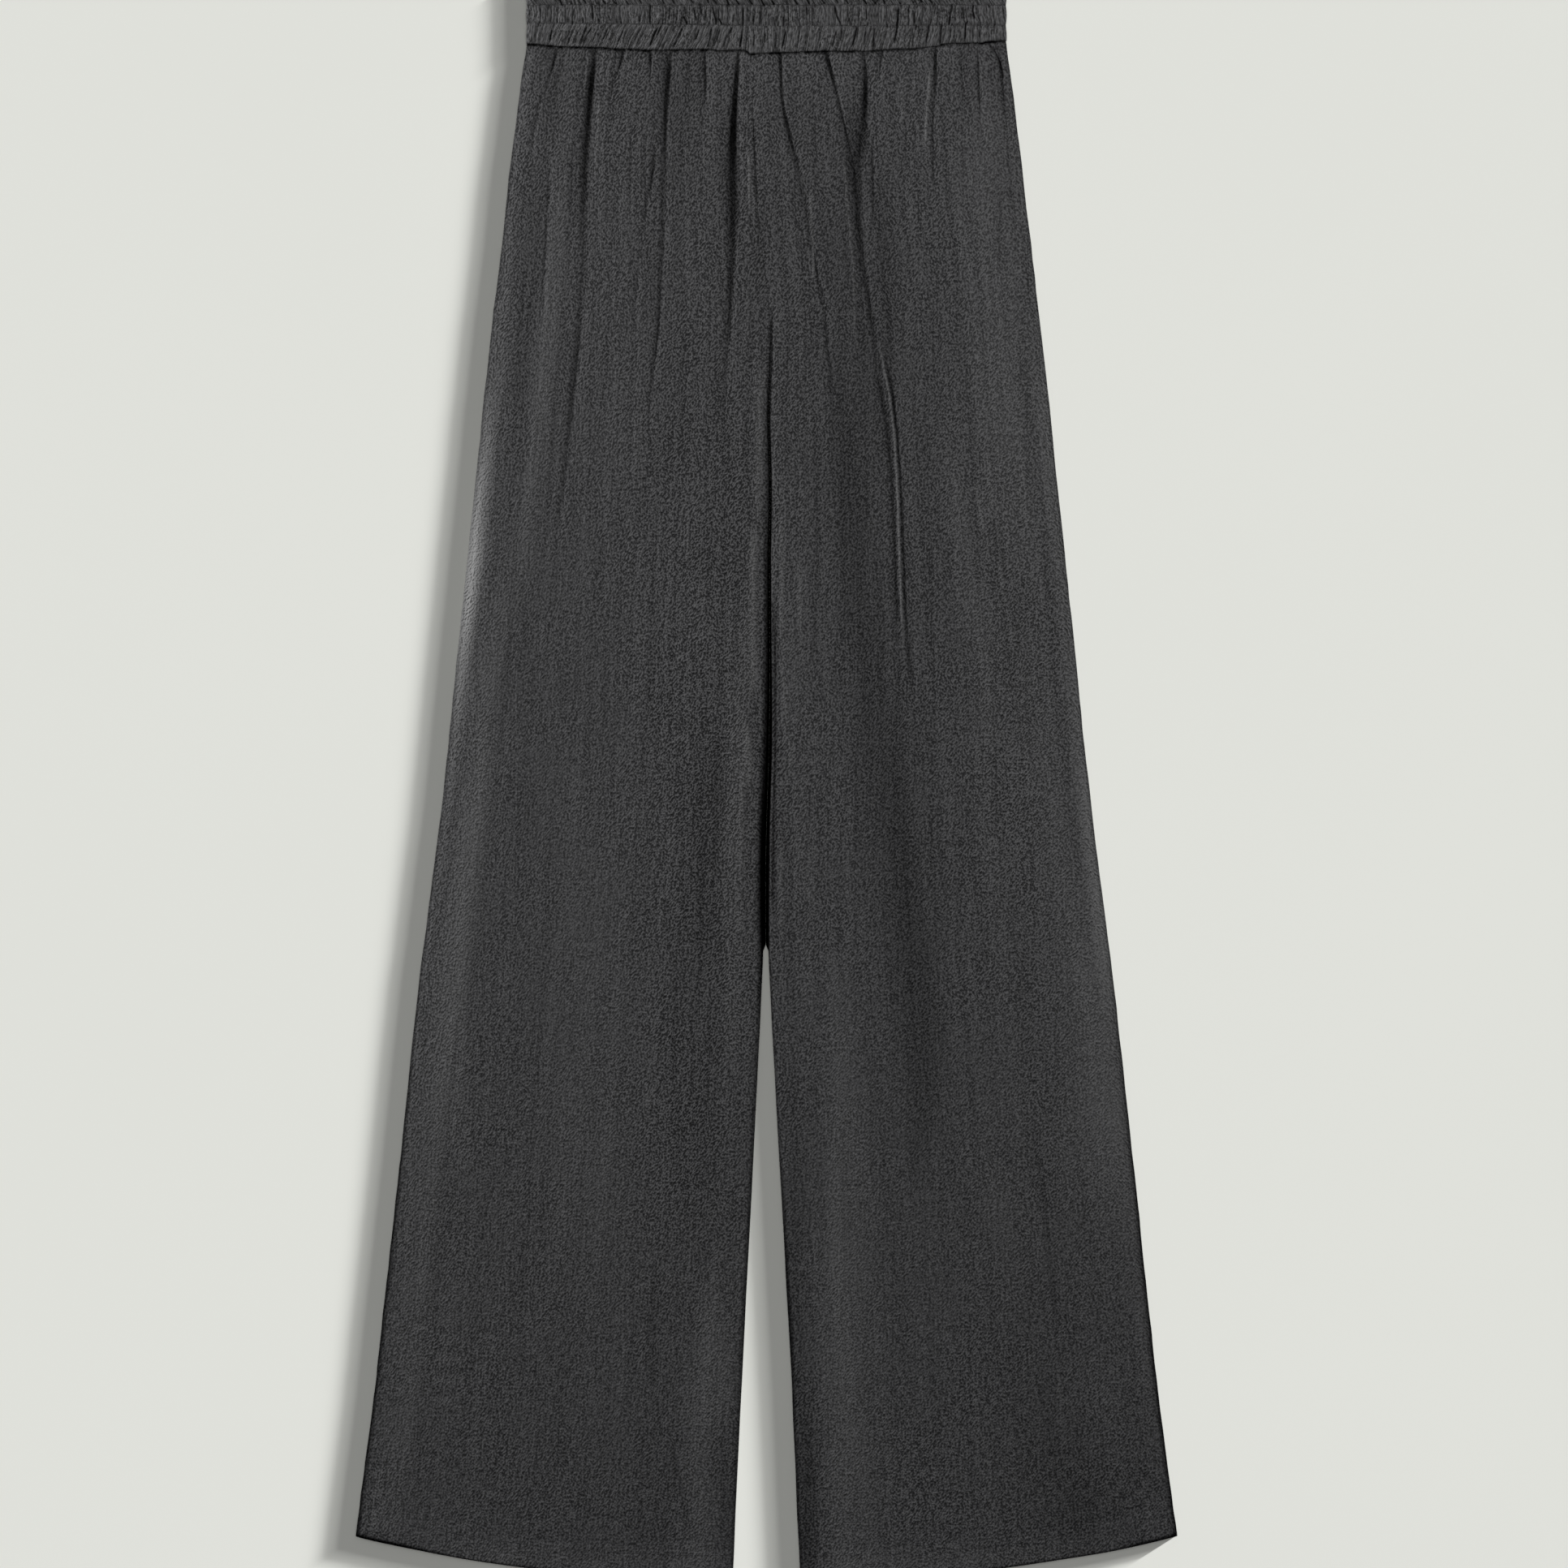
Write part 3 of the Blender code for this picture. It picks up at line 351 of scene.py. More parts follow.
# Tight pleats of the band: depth, then x and height over the seam line of each of its points in turn.
BAND_PLEATS = (
    (0.75, -146.6, 4.4, -145.1, 13.2), (0.45, -154.4, 13.8, -153.6, 18.2), (0.5, -134.6, 2.8, -130.8, 13.2),
    (0.65, -131.1, 2.2, -127.5, 12.1), (0.75, -126.4, 2.2, -123.9, 9.4, -121.3, 15.4),
    (0.8, -124.1, 2.2, -121.7, 8.8, -117.9, 14.3), (0.55, -111, 5.5, -107.6, 12.7),
    (0.5, -106.3, 4.4, -102.8, 15.4), (0.45, -100.2, 4.4, -96.7, 12.1), (0.65, -97.2, 5.5, -93.7, 14.3),
    (0.4, -89.5, 4.4, -86, 13.2), (1, -79.1, 0.6, -76.9, 7.7, -73.9, 13.8), (0.8, -74.2, 8.2, -70.6, 16),
    (0.9, -63.5, 0.6, -60.4, 6.6, -56.6, 14.3), (0.6, -63.3, 11, -61.9, 15.4), (0.6, -47.9, 5.5, -45.6, 13.2),
    (0.95, -40.2, 0, -38.4, 5.5, -36.8, 13.8), (0.55, -34.1, 5, -31.5, 12.1), (0.4, -36.2, 1.1, -34.3, 5.5),
    (0.6, -29.3, 0, -27.7, 6.6, -22.4, 14.9), (0.85, -18.2, 0.6, -16.4, 9.9), (0.55, -9, 1.1, -7.9, 9.9),
    (0.4, -1.5, 3.3, -0.7, 9.9), (0.5, 5.3, -1.1, 6.5, 11), (0.8, 10.7, 0.6, 13, 12.1),
    (0.4, 35.9, 11, 36.4, 6.6), (0.8, 44.6, 1.1, 47.5, 12.1), (0.5, 49.9, 4.4, 51.4, 12.1),
    (1, 58.1, 1.1, 59.6, 7.2, 61.5, 14.9), (0.6, 65.9, 1.1, 67.7, 12.1), (0.8, 72.1, 0, 73.3, 14.9),
    (1, 86.4, 2.2, 88.3, 12.1, 88.9, 22, 89.5, 28.6), (0.6, 99.4, 26.4, 100, 16.5),
    (0.65, 100.5, 12.1, 102, 16), (0.4, 98.8, 1.1, 99.7, 11), (0.5, 103, 7.7, 103.6, 22),
    (0.8, 107.9, 2.2, 110.2, 16.5), (0.85, 117.5, 1.7, 118.7, 17.1),
    (0.8, 125.6, 29.7, 124.5, 22, 123.4, 14.3), (0.5, 132.2, 28.6, 134.3, 19.2),
    (0.85, 140.2, 30.3, 139.8, 25.3, 141.3, 19.2), (0.85, 134.3, 5, 135, 16.5, 136.8, 18.7),
    (0.5, 143.9, 7.2, 144.7, 12.1), (0.5, 154.1, 10.5, 154.4, 16.5), (0.4, 145, 13.8, 145.6, 18.2),
    (0.45, 152.4, 9.4, 152.5, 12.7), (0.45, -148.2, 25.3, -147, 28.6), (0.6, -130.8, 21.5, -130.2, 26.4),
    (0.55, -131.3, 15.4, -131, 18.7), (0.55, -123.8, 16.5, -124.2, 20.9), (0.75, -117.5, 18.2, -118.1, 31.4),
    (0.7, -113.1, 17.6, -113.2, 19.8), (0.6, -105.5, 23.1, -105.7, 27.5), (0.6, -107.1, 22, -105.2, 18.2),
    (0.5, -101, 16.5, -100.7, 22), (0.7, -86.2, 17.1, -85.4, 23.1), (1, -78.8, 16, -78.9, 23.1, -78.5, 30.3),
    (0.6, -73.5, 16, -73.1, 19.2), (0.8, -65.8, 18.7, -65.4, 28.6),
    (0.85, -56.4, 22, -54.6, 18.7, -53.3, 15.4), (0.55, -55.3, 22, -55.2, 28.6),
    (0.85, -49.4, 28.1, -47.4, 18.2), (0.65, -45, 30.3, -44.1, 22), (0.65, -42, 18.2, -40.9, 26.4),
    (0.95, -36.4, 28.6, -35.1, 22, -33.9, 17.1), (0.9, -32.3, 20.4, -30, 16), (0.7, -22.7, 17.1, -22.2, 23.1),
    (0.75, -15.8, 28.6, -15.7, 14.3), (0.5, -8.7, 23.1, -9.2, 15.4), (0.65, -4, 26.4, -4.8, 16),
    (0.5, 1.5, 21.5, 1.5, 14.9), (0.55, 4.6, 21.5, 6.4, 13.2), (0.55, 11.3, 14.3, 11.5, 22),
    (0.6, 27.2, 28.1, 27.7, 22), (0.5, 31.7, 28.1, 32.4, 19.2), (1, 46.5, 28.6, 47.6, 22, 50.5, 16),
    (0.5, 55.4, 20.9, 57.6, 15.4), (0.65, 67.8, 18.7, 67.5, 27), (0.5, 62.2, 20.4, 62.6, 25.9),
    (0.55, 79.9, 20.4, 80.6, 22), (0.55, 113.8, 22, 114, 30.8), (0.5, 117.6, 22, 117.2, 27),
    (0.6, 68.6, 14.9, 68.9, 18.2), (0.6, 81.8, 13.8, 81.8, 17.1), (0.5, 94, 19.2, 94.2, 21.5),
    (0.85, -25.5, 15.6, -24.7, 16.2), (0.9, -18.6, 16, -17.9, 15.4), (0.8, -34.5, 17.1, -33.9, 16.5),
    (0.7, -0.5, 14.6, 0.4, 14.1), (0.7, -98.9, 17.6, -98.1, 17.3), (0.6, 11.4, 14.9, 11.9, 14.1),
    (0.9, -140.2, 33.6, -139, 30.8, -137.9, 28.1), (0.5, -157.2, 32.5, -155.8, 30.3),
    (0.6, -132.4, 32.5, -131.6, 29.7), (0.9, -124.1, 33.6, -121.8, 29.7), (0.7, -116.2, 32.5, -113.4, 29.2),
    (0.75, -110.5, 32.5, -108.4, 29.7), (0.8, -103.8, 31.9, -101.4, 29.7), (0.6, -95, 31.9, -92.6, 29.2),
    (0.85, -86.5, 33.6, -84.3, 29.7), (0.75, -70.7, 33, -69.1, 29.7), (0.7, -63.7, 32.5, -62.3, 30.3),
    (0.75, -52.1, 33.6, -49, 30.3), (0.9, -40.6, 33.6, -38.8, 30.3), (1, -36.2, 33.6, -33.3, 29.7),
    (1, -27.1, 33.6, -24.8, 28.1), (0.9, -20.8, 33, -18.1, 29.2), (1, -11.9, 33, -8.9, 29.2),
    (0.95, -4, 33.6, -0.9, 28.1), (1, 3.5, 32.5, 5.6, 29.2), (0.6, 11.9, 32.5, 14.5, 29.2),
    (0.85, 18.8, 33, 21.5, 29.2), (0.85, 27.1, 33.6, 29.3, 29.7), (1, 36.9, 33.6, 39.8, 29.7),
    (0.95, 46.8, 33.6, 48.9, 30.3), (0.85, 53.6, 33, 55.8, 29.7), (0.95, 65, 33.6, 68.4, 29.7),
    (0.85, 71, 33.6, 73.6, 30.3, 76.1, 33), (0.95, 78.8, 33.6, 80.2, 29.7), (0.8, 90, 30.8, 91.5, 29.9),
    (0.9, 103.2, 33.6, 105.5, 30.8), (0.8, 110.4, 33, 112.8, 30.3), (0.7, 98.8, 31.4, 100.2, 30.5),
    (0.7, 150.3, 29.2, 151.1, 27.5),
)
PLEAT_HALF_WIDTH = 0.62

# Fineness of the meshes: points of the upper faces, and every how many rows and columns the lower one keeps.
FRONT_ROWS = 286
FRONT_COLUMNS = 276
FRONT_STEPS = (2, 3)
BACK_ROWS, BACK_COLUMNS = 130, 61
BAND_ROWS = 96
BAND_COLUMNS = 720
BAND_STEPS = (2, 4)
BAND_REACH = (1, 4)              # rows and columns around a point that its lower face stays under
BAND_BACK_ROWS, BAND_BACK_COLUMNS = 40, 220


# ------------------------------------------------------------------------------------------------- shapes

def read_table(table, places, *blurs):
    """The columns of a table after its first, read at some places: straight between rows, then averaged
    over a stretch of blur to both sides with weights that fall off to its ends, so that no corner is
    left. One blur for each column; None leaves a column out."""
    rows = np.array(table, dtype=float)
    steps = np.linspace(-1.0, 1.0, 9)
    weights = 1.0 - 0.9 * np.abs(steps)
    weights /= weights.sum()
    found = []
    for values, blur in zip(rows.T[1:], blurs):
        if blur is None:
            continue
        total = np.zeros_like(np.asarray(places, dtype=float))
        for step, weight in zip(steps, weights):
            total = total + weight * np.interp(places + step * (blur * MM), rows[:, 0] * MM, values * MM)
        found.append(total)
    return found


def smooth(value):
    """A smooth step: 3t^2 - 2t^3 of the value held between 0 and 1."""
    t = np.clip(value, 0.0, 1.0)
    return t * t * (3.0 - 2.0 * t)


def rolled(distance, radius, fullness=2.0):
    """A quarter of a superellipse: 0 on the edge and 1 from the radius inwards. A fullness of 2 is an
    ellipse, and less is closer to a straight slope."""
    t = np.clip(distance / radius, 0.0, 1.0)
    return (1.0 - (1.0 - t) ** fullness) ** (1.0 / fullness)


def sunk(distance, radius, fullness=2.0):
    """What a rolled edge has lost: 1 on the edge and 0 from the radius inwards."""
    return 1.0 - rolled(distance, radius, fullness)


def bell(distance, width, power=2):
    """A bell: e to the minus power of the distance over the width."""
    return np.exp(-(distance / width) ** power)


def lumps(u, v, seed):
    """Value noise from -1 to 1: seeded random heights on a unit lattice, joined by smooth steps. Each
    use has its own seed, and a constant u or v picks one line of its lattice."""
    size = 256
    table = np.random.default_rng(seed).uniform(-1.0, 1.0, (size, size))
    u, v = np.broadcast_arrays(u, v)
    column = np.floor(u).astype(int)
    row = np.floor(v).astype(int)
    across = smooth(u - column)
    down = smooth(v - row)
    west, east = (table[row % size, at % size] * (1 - down) + table[(row + 1) % size, at % size] * down
                  for at in (column, column + 1))
    return west * (1 - across) + east * across


def side_edge(depth, side):
    """X of the side seam: the table, with a slow and a quick ripple of cloth that lies loose."""
    ripple = 0.45 * lumps(depth / (46 * MM), side * 3.3, 11) + 0.2 * lumps(depth / (11 * MM), side * 5.1, 12)
    return side * (read_table(SIDE_SEAM, depth, 12)[0] + ripple * MM)


def front_inner_edge(depth, side):
    """X of a front's centre seam and, below the crotch, of its inseam."""
    line, half_gap = read_table(CENTRE, depth, 7, 10)
    ripple = 0.25 * lumps(depth / (30 * MM), side * 2.7, 13) * smooth((depth - SLIT_TOP) / (60 * MM))
    return line + side * (half_gap + ripple * MM)


def back_inner_edge(depth, side):
    """X of a back's inner edge: it meets the other back down to the top of the open slit."""
    line, half_gap = read_table(CENTRE, depth, 7, 10)
    opened = smooth((depth - SLIT_TOP) / SLIT_EASE)
    return line + side * (BACK_GAP + (half_gap + 0.4 * MM - BACK_GAP) * opened)


def x_at(share, depth, side, inner_edge):
    """X at a share of a panel's width: 0 is its inner edge and 1 the side seam."""
    inner = inner_edge(depth, side)
    return inner + share * (side_edge(depth, side) - inner)


def waist_seam(x):
    """Depth of the waist seam: a shallow arc with small steps and a stitch-long waver."""
    steps = read_table(SEAM_STEPS, x, 1.2)[0]
    waver = 0.28 * MM * lumps(x / (5.5 * MM), 0.4, 14)
    return WAIST_SEAM_SAG - WAIST_SEAM_RISE * (x / BAND_HALF_WIDTH) ** 2 + steps + waver


def hem(across, side):
    """Depth of the hem: 0 is the inseam and 1 the side seam, where it has curved up."""
    waver = 0.35 * MM * lumps(across * 6.0, side * 4.2, 15)
    return LEG_LENGTH - HEM_RISE * across ** HEM_CURVE + waver


def between(rows, depth):
    """Whether a depth lies from the first to the last row of a form."""
    return (depth >= rows[0][0] * MM) & (depth <= rows[-1][0] * MM)


def gather_depth(x, depth):
    """Sum of the trenches. Across, each is a narrow flat-floored dip; its left bank also slopes down
    gently from further off, and its right bank is steep."""
    total = np.zeros_like(x)
    for rows in GATHERS:
        line, width, drop = read_table(rows, depth, 9, 6, 6)
        off = (x - line) / (width / 2)
        bank = np.where(off < 0, bell(off, LEFT_BANK), bell(off, RIGHT_BANK))
        trench = (1.0 - BANK_SHARE) * bell(np.abs(off), 1.0, 3) + BANK_SHARE * bank
        total -= drop * between(rows, depth) * trench
    return total


def swell_height(x, depth):
    """Sum of the broad folds: each follows its line, and across it is a bell with its own width on
    either side."""
    total = np.zeros_like(x)
    for rows in SWELLS:
        line, left, right, height = read_table(rows, depth, 14, 10, 10, 14)
        total += between(rows, depth) * height * bell(x - line, np.where(x < line, left, right))
    return total


def crease_height(x, depth, table=CREASES):
    """Sum of the pressed lines: a bell of the distance to the line, which fades at both ends."""
    total = np.zeros_like(x)
    for height, half_width, *points in table:
        ends = np.reshape(points, (-1, 2)) * MM
        steps = ends[1:] - ends[:-1]
        lengths = np.hypot(*steps.T)
        nearest = np.full(x.shape, 1.0)
        along = np.zeros_like(x)
        gone = 0.0
        for start, step, length in zip(ends[:-1], steps, lengths):
            t = np.clip(((x - start[0]) * step[0] + (depth - start[1]) * step[1]) / length ** 2, 0.0, 1.0)
            distance = np.hypot(x - start[0] - t * step[0], depth - start[1] - t * step[1])
            closer = distance < nearest
            nearest = np.where(closer, distance, nearest)
            along = np.where(closer, (gone + t * length) / lengths.sum(), along)
            gone += length
        fade = smooth(along / CREASE_END) * smooth((1.0 - along) / CREASE_END)
        total += height * MM * (CREASE_END + (1.0 - CREASE_END) * fade) * bell(nearest, half_width * MM)
    return total


def fan(x, depth, side):
    """Distance from the inseam, stretched so that lines of equal value spread like the flare."""
    inner = front_inner_edge(depth, side)
    return side * ((x - inner) / (side_edge(depth, side) - inner)) * FAN_WIDTH * MM


def stripes(x, depth, side):
    """Lengthwise stripes of the crinkle, 6 to 12 mm apart and some hand-widths long, from about -1 to 1;
    they weaken below the thigh."""
    across = fan(x, depth, side)
    hold = 1.0 - smooth((depth - 260 * MM) / (420 * MM))
    broad = lumps(across / (5.2 * MM), depth / (210 * MM), 21)
    narrow = lumps(across / (2.7 * MM), depth / (45 * MM), 22)
    return (0.70 * broad + 0.42 * narrow) * (0.48 + 0.52 * hold)


def crepe(x, depth, side):
    """Relief of the crinkle that the mesh can hold: the stripes, and short uneven ridges about 4 mm
    apart all over."""
    across = fan(x, depth, side)
    ridges = lumps(across / (2.1 * MM), depth / (3.6 * MM), 23)
    ridges = ridges + 0.5 * lumps(across / (4.5 * MM), depth / (3.4 * MM), 24)
    return (0.42 * stripes(x, depth, side) + 0.06 * ridges) * MM


def front_top(x, depth, side):
    """Height of a front's upper face: loft, swells and trenches over the back, rounded down to the
    side seam and inseam, with the crinkle on it."""
    outer, inner = side_edge(depth, side), front_inner_edge(depth, side)
    to_side, to_inner = np.abs(outer - x), np.abs(x - inner)
    dip = smooth((depth - VALLEY_START) / (CROTCH_DEPTH - VALLEY_START))
    edge = rolled(to_side, SIDE_ROLL, 1.5) * (1.0 - dip * sunk(to_inner, INSEAM_ROLL))
    free = smooth((depth + SEAM_GRIP / 2) / SEAM_GRIP)
    crown = CROWN + (1.0 - CROWN) * smooth(to_side / CROWN_REACH)
    loft = read_table(LOFT, depth, 8)[0] * edge * crown
    relief = (swell_height(x, depth) + gather_depth(x, depth)) * edge * free
    relief += crease_height(x, depth) * smooth(to_side / (4 * MM)) * free
    least = LEAST_LOFT * loft
    above = loft - least + relief
    above = (above + np.sqrt(above ** 2 + SOFT_FLOOR ** 2) - SOFT_FLOOR) / 2
    top = FRONT_BASE + CLOTH + least + above + SEAT * (1.0 - smooth(depth / SEAM_GRIP))
    top += crepe(x, depth, side) * smooth(to_side / (6 * MM)) * (SEAM_CREPE + (1.0 - SEAM_CREPE) * free)
    to_hem = hem(np.abs((x - inner) / (outer - inner)), side) - depth
    top += HEM_EXTRA * smooth((HEM_WIDTH + 1.2 * MM - to_hem) / (2.4 * MM))
    top -= 0.35 * MM * bell(to_hem - HEM_WIDTH + HEM_STITCH_IN, 1.1 * MM)
    for drop, lost in (
        (EDGE_DROP, sunk(to_side, 2.0 * EDGE_ROLL, 1.6)),
        (EDGE_DROP * dip, sunk(to_inner, EDGE_ROLL)),
        (0.25 * MM * (1.0 - dip), sunk(to_inner, 1.2 * MM)),
        (0.8 * MM, sunk(to_hem, 1.6 * MM)),
        (0.7 * MM, sunk(depth - waist_seam(x), 1.8 * MM)),
    ):
        top -= drop * lost
    return top


def panel_grid(side, inner_edge, down, across):
    """X and depth of a leg panel's points, one row from the inner edge to the side seam. Down is a
    column of shares of the length; across holds the shares of the width, row by row."""
    top = waist_seam(x_at(across, 0.0, side, inner_edge))
    depth = top + (hem(across, side) - top) * down
    return x_at(across, depth, side, inner_edge), depth


def crowded(side, down, count):
    """Shares of the width for the columns of each row: even steps of a running total that grows
    faster over the gathers and the rolled edges, so that more points fall there."""
    even = np.broadcast_to(np.linspace(0.0, 1.0, 4 * count + 1), (len(down), 4 * count + 1))
    x, depth = panel_grid(side, front_inner_edge, down, even)
    crowd = np.ones_like(x)
    for rows in GATHERS:
        line, drop = read_table(rows, depth, 9, None, 25)
        crowd += 0.55 * (drop / MM) * bell(x - line, 4.5 * MM)
    crowd += 2.0 * bell(side_edge(depth, side) - x, 3.0 * MM)
    crowd += 2.0 * np.abs(crease_height(x, depth)) / MM
    crowd += 1.5 * bell(x - front_inner_edge(depth, side), 2.0 * MM)
    sums = np.cumsum((crowd[:, 1:] + crowd[:, :-1]) / 2, axis=1)
    running = np.concatenate([np.zeros((len(down), 1)), sums], axis=1)
    running /= running[:, -1:]
    wanted = np.linspace(0.0, 1.0, count + 1)
    return np.array([np.interp(wanted, total, shares) for total, shares in zip(running, even)])


def front_rows(count):
    """Shares of the length for a front's rows: close together at the hips and again along the hem."""
    even = np.linspace(0.0, 1.0, count)
    rows = 0.42 * even + 0.58 * even ** 2
    hem_share = HEM_WIDTH / LEG_LENGTH
    # above the leg's end, in widths of the turned hem
    in_hem = (1.15, 1.07, 1.0, 0.93, 0.86, 0.7, 0.5, 0.32, 0.19, 0.15, 0.12, 0.09, 0.06, 0.03, 0.0)
    kept = rows[(rows > 0.003) & (rows < 1.0 - 1.25 * hem_share)]
    return np.concatenate([[0.0, 0.0006, 0.0012, 0.0022], kept, 1.0 - np.array(in_hem) * hem_share])[:, None]


def shell(over, under, row_step, column_step):
    """Vertices and faces of a closed shell: a fine upper grid, a lower grid that keeps every few rows
    and columns of it, and rim faces that join each lower edge to the upper edges beside it. Also
    returns which points of the grid the lower one keeps."""
    rows, across = over.shape[:2]
    kept_rows = np.unique(np.append(np.arange(0, rows, row_step), rows - 1))
    kept_columns = np.unique(np.append(np.arange(0, across, column_step), across - 1))
    pick = np.ix_(kept_rows, kept_columns)
    lower = under[pick]
    upper_at = np.arange(rows * across).reshape(rows, across)
    lower_at = rows * across + np.arange(lower.shape[0] * lower.shape[1]).reshape(lower.shape[:2])

    def quads(at, flip):
        corners = [at[:-1, :-1], at[1:, :-1], at[1:, 1:], at[:-1, 1:]]
        return np.stack(corners[::-1] if flip else corners, axis=-1).reshape(-1, 4).tolist()

    faces = quads(upper_at, False) + quads(lower_at, True)
    borders = (
        (upper_at[0, ::-1], lower_at[0, ::-1], (across - 1 - kept_columns)[::-1]),
        (upper_at[-1, :], lower_at[-1, :], kept_columns),
        (upper_at[:, 0], lower_at[:, 0], kept_rows),
        (upper_at[::-1, -1], lower_at[::-1, -1], (rows - 1 - kept_rows)[::-1]),
    )
    for upper, low, stops in borders:
        for index in range(len(stops) - 1):
            above = upper[stops[index]:stops[index + 1] + 1].tolist()
            faces.append(above[::-1] + [int(low[index]), int(low[index + 1])])
    return np.concatenate([over.reshape(-1, 3), lower.reshape(-1, 3)]), faces, pick


def lowest_near(height, reach_down, reach_across):
    """The least height among a point's neighbours, so that a coarser grid stays under a finer one."""
    least = height.copy()
    rows, columns = height.shape
    for down in range(-reach_down, reach_down + 1):
        for across in range(-reach_across, reach_across + 1):
            row = np.clip(np.arange(rows) + down, 0, rows - 1)
            column = np.clip(np.arange(columns) + across, 0, columns - 1)
            least = np.minimum(least, height[np.ix_(row, column)])
    return least


def add_piece(name, material, vertices, faces, lie=None, shades=()):
    """A mesh object at the origin with its UV map of how the cloth was cut. Its shades are the painted shade
    laid into its folds, the painted highlight on its ridges and lit edges, and how much livelier than usual
    its puckers are."""
    mesh = bpy.data.meshes.new(name)
    mesh.from_pydata(vertices.tolist(), [], faces)
    if lie is not None:
        corner_vertex = np.empty(len(mesh.loops), dtype=np.int32)
        mesh.loops.foreach_get("vertex_index", corner_vertex)
        layer = mesh.uv_layers.new(name="lie")
        layer.data.foreach_set("uv", lie[corner_vertex].astype(np.float32).ravel())
    for label, values in dict(shades).items():
        least = -1.0 if label == "lively" else 0.0
        attribute = mesh.attributes.new(label, "FLOAT", "POINT")
        attribute.data.foreach_set("value", np.clip(values, least, 1.0).astype(np.float32))
    mesh.shade_smooth()
    mesh.set_sharp_from_angle(angle=math.radians(60))
    mesh.validate()
    mesh.update()
    piece = bpy.data.objects.new(name, mesh)
    bpy.context.scene.collection.objects.link(piece)
    mesh.materials.append(material)
    return piece


def add_cloth(name, material, grid, steps, lie, hollow_below, shades):
    """A piece of cloth. Its grid is x, depth, upper and lower height of its points, lie says where each
    was in the cut cloth, and the lower face has its share of the upper one's painted shade."""
    x, depth, top, under = grid
    over, below = (np.stack([x, SEAM_Y - depth, height], axis=-1) for height in (top, under))
    vertices, faces, pick = shell(over, below, *steps)

    def on_both(part, share=1.0):
        return np.concatenate([part.ravel(), share * part[pick].ravel()])

    lie = np.stack([on_both(part) for part in lie], axis=-1)
    shades = {label: on_both(part, hollow_below if label == "hollow" else 1.0)
              for label, part in shades.items()}
    return add_piece(name, material, vertices, faces, lie, shades)


# ----------------------------------------------------------------------------------------------- finishes

def linear(code):
    """Linear colour of an sRGB hex code."""
    parts = [int(code[i:i + 2], 16) / 255 for i in (1, 3, 5)]
    return tuple(c / 12.92 if c <= 0.04045 else ((c + 0.055) / 1.055) ** 2.4 for c in parts) + (1.0,)


def add_node(tree, kind, settings=(), inputs=(), out=0):
    """One shader node: its own settings, then for each input a value or the socket that feeds it.
    Returns one of its outputs."""
    node = tree.nodes.new("ShaderNode" + kind)
    for name, value in dict(settings).items():
        setattr(node, name, value)
    for socket, value in dict(inputs).items():
        if isinstance(value, bpy.types.NodeSocket):
            tree.links.new(value, node.inputs[socket])
        else:
            node.inputs[socket].default_value = value
    return node.outputs[out] if node.outputs else None


def start_material(name):
    """An empty node material and its tree."""
    material = bpy.data.materials.new(name)
    material.use_nodes = True
    material.node_tree.nodes.clear()
    return material, material.node_tree


# Noise of the gauze, coarse enough for a thread-thick pucker to show: what it follows (the place, or the
# warp of the cut cloth), its turn in degrees, cell across and down, which patches it fills (0 all of the
# cloth, 1 and -1 take turns), share of the height, share of the tone (painted shade and light that follow
# the height, and slub tone along the warp), and how much is left at the hem.
LEG_CRINKLE = (
    ("place", 0.0, 1.25, 1.5, 0, 0.45, 1.15, 0.66),
    ("place", 33.0, 1.15, 2.6, 1, 0.42, 1.05, 0.60),
    ("place", -33.0, 1.15, 2.6, -1, 0.42, 1.05, 0.60),
    ("warp", 0.0, 1.45, 7.0, 0, 0.18, 0.45, 1.20),
    ("warp", 0.0, 2.6, 40.0, 0, 0.08, 0.20, 0.80),
    ("warp", 0.0, 5.0, 130.0, 0, 0.08, 0.26, 0.35),
)
BAND_CRINKLE = (
    ("warp", 0.0, 1.0, 3.4, 0, 0.60, 0.90, 1.0),
    ("warp", 0.0, 1.25, 12.0, 0, 0.30, 0.45, 1.0),
    ("place", 0.0, 1.0, 1.6, 1, 0.35, 0.75, 1.0),
)
LAYER_SHIFT = (0.0173, 0.0127)   # metres between one layer's noise and the next one's
PATCH = 13.0                     # size of the patches that the layers take turns in
CALM = 42.0                      # size of the stretches where the puckers are all stronger or weaker
# Livelier cloth is painted paler, to make up for the shade its stronger puckers take.
LIVELY_PAINTED_LIGHT = 0.11               # livelier cloth is this much paler
# Colours of the painted highlight and of the painted shade.
HIGHLIGHT_PAINT, SHADE_PAINT = "#7e7e7e", "#020202"
# Gloss and sheen fade out under the painted shade, so that it is black at the folds' bottom.
GLOSS, SHEEN = 0.15, 0.07        # on top of the folds; both are gone at their bottom


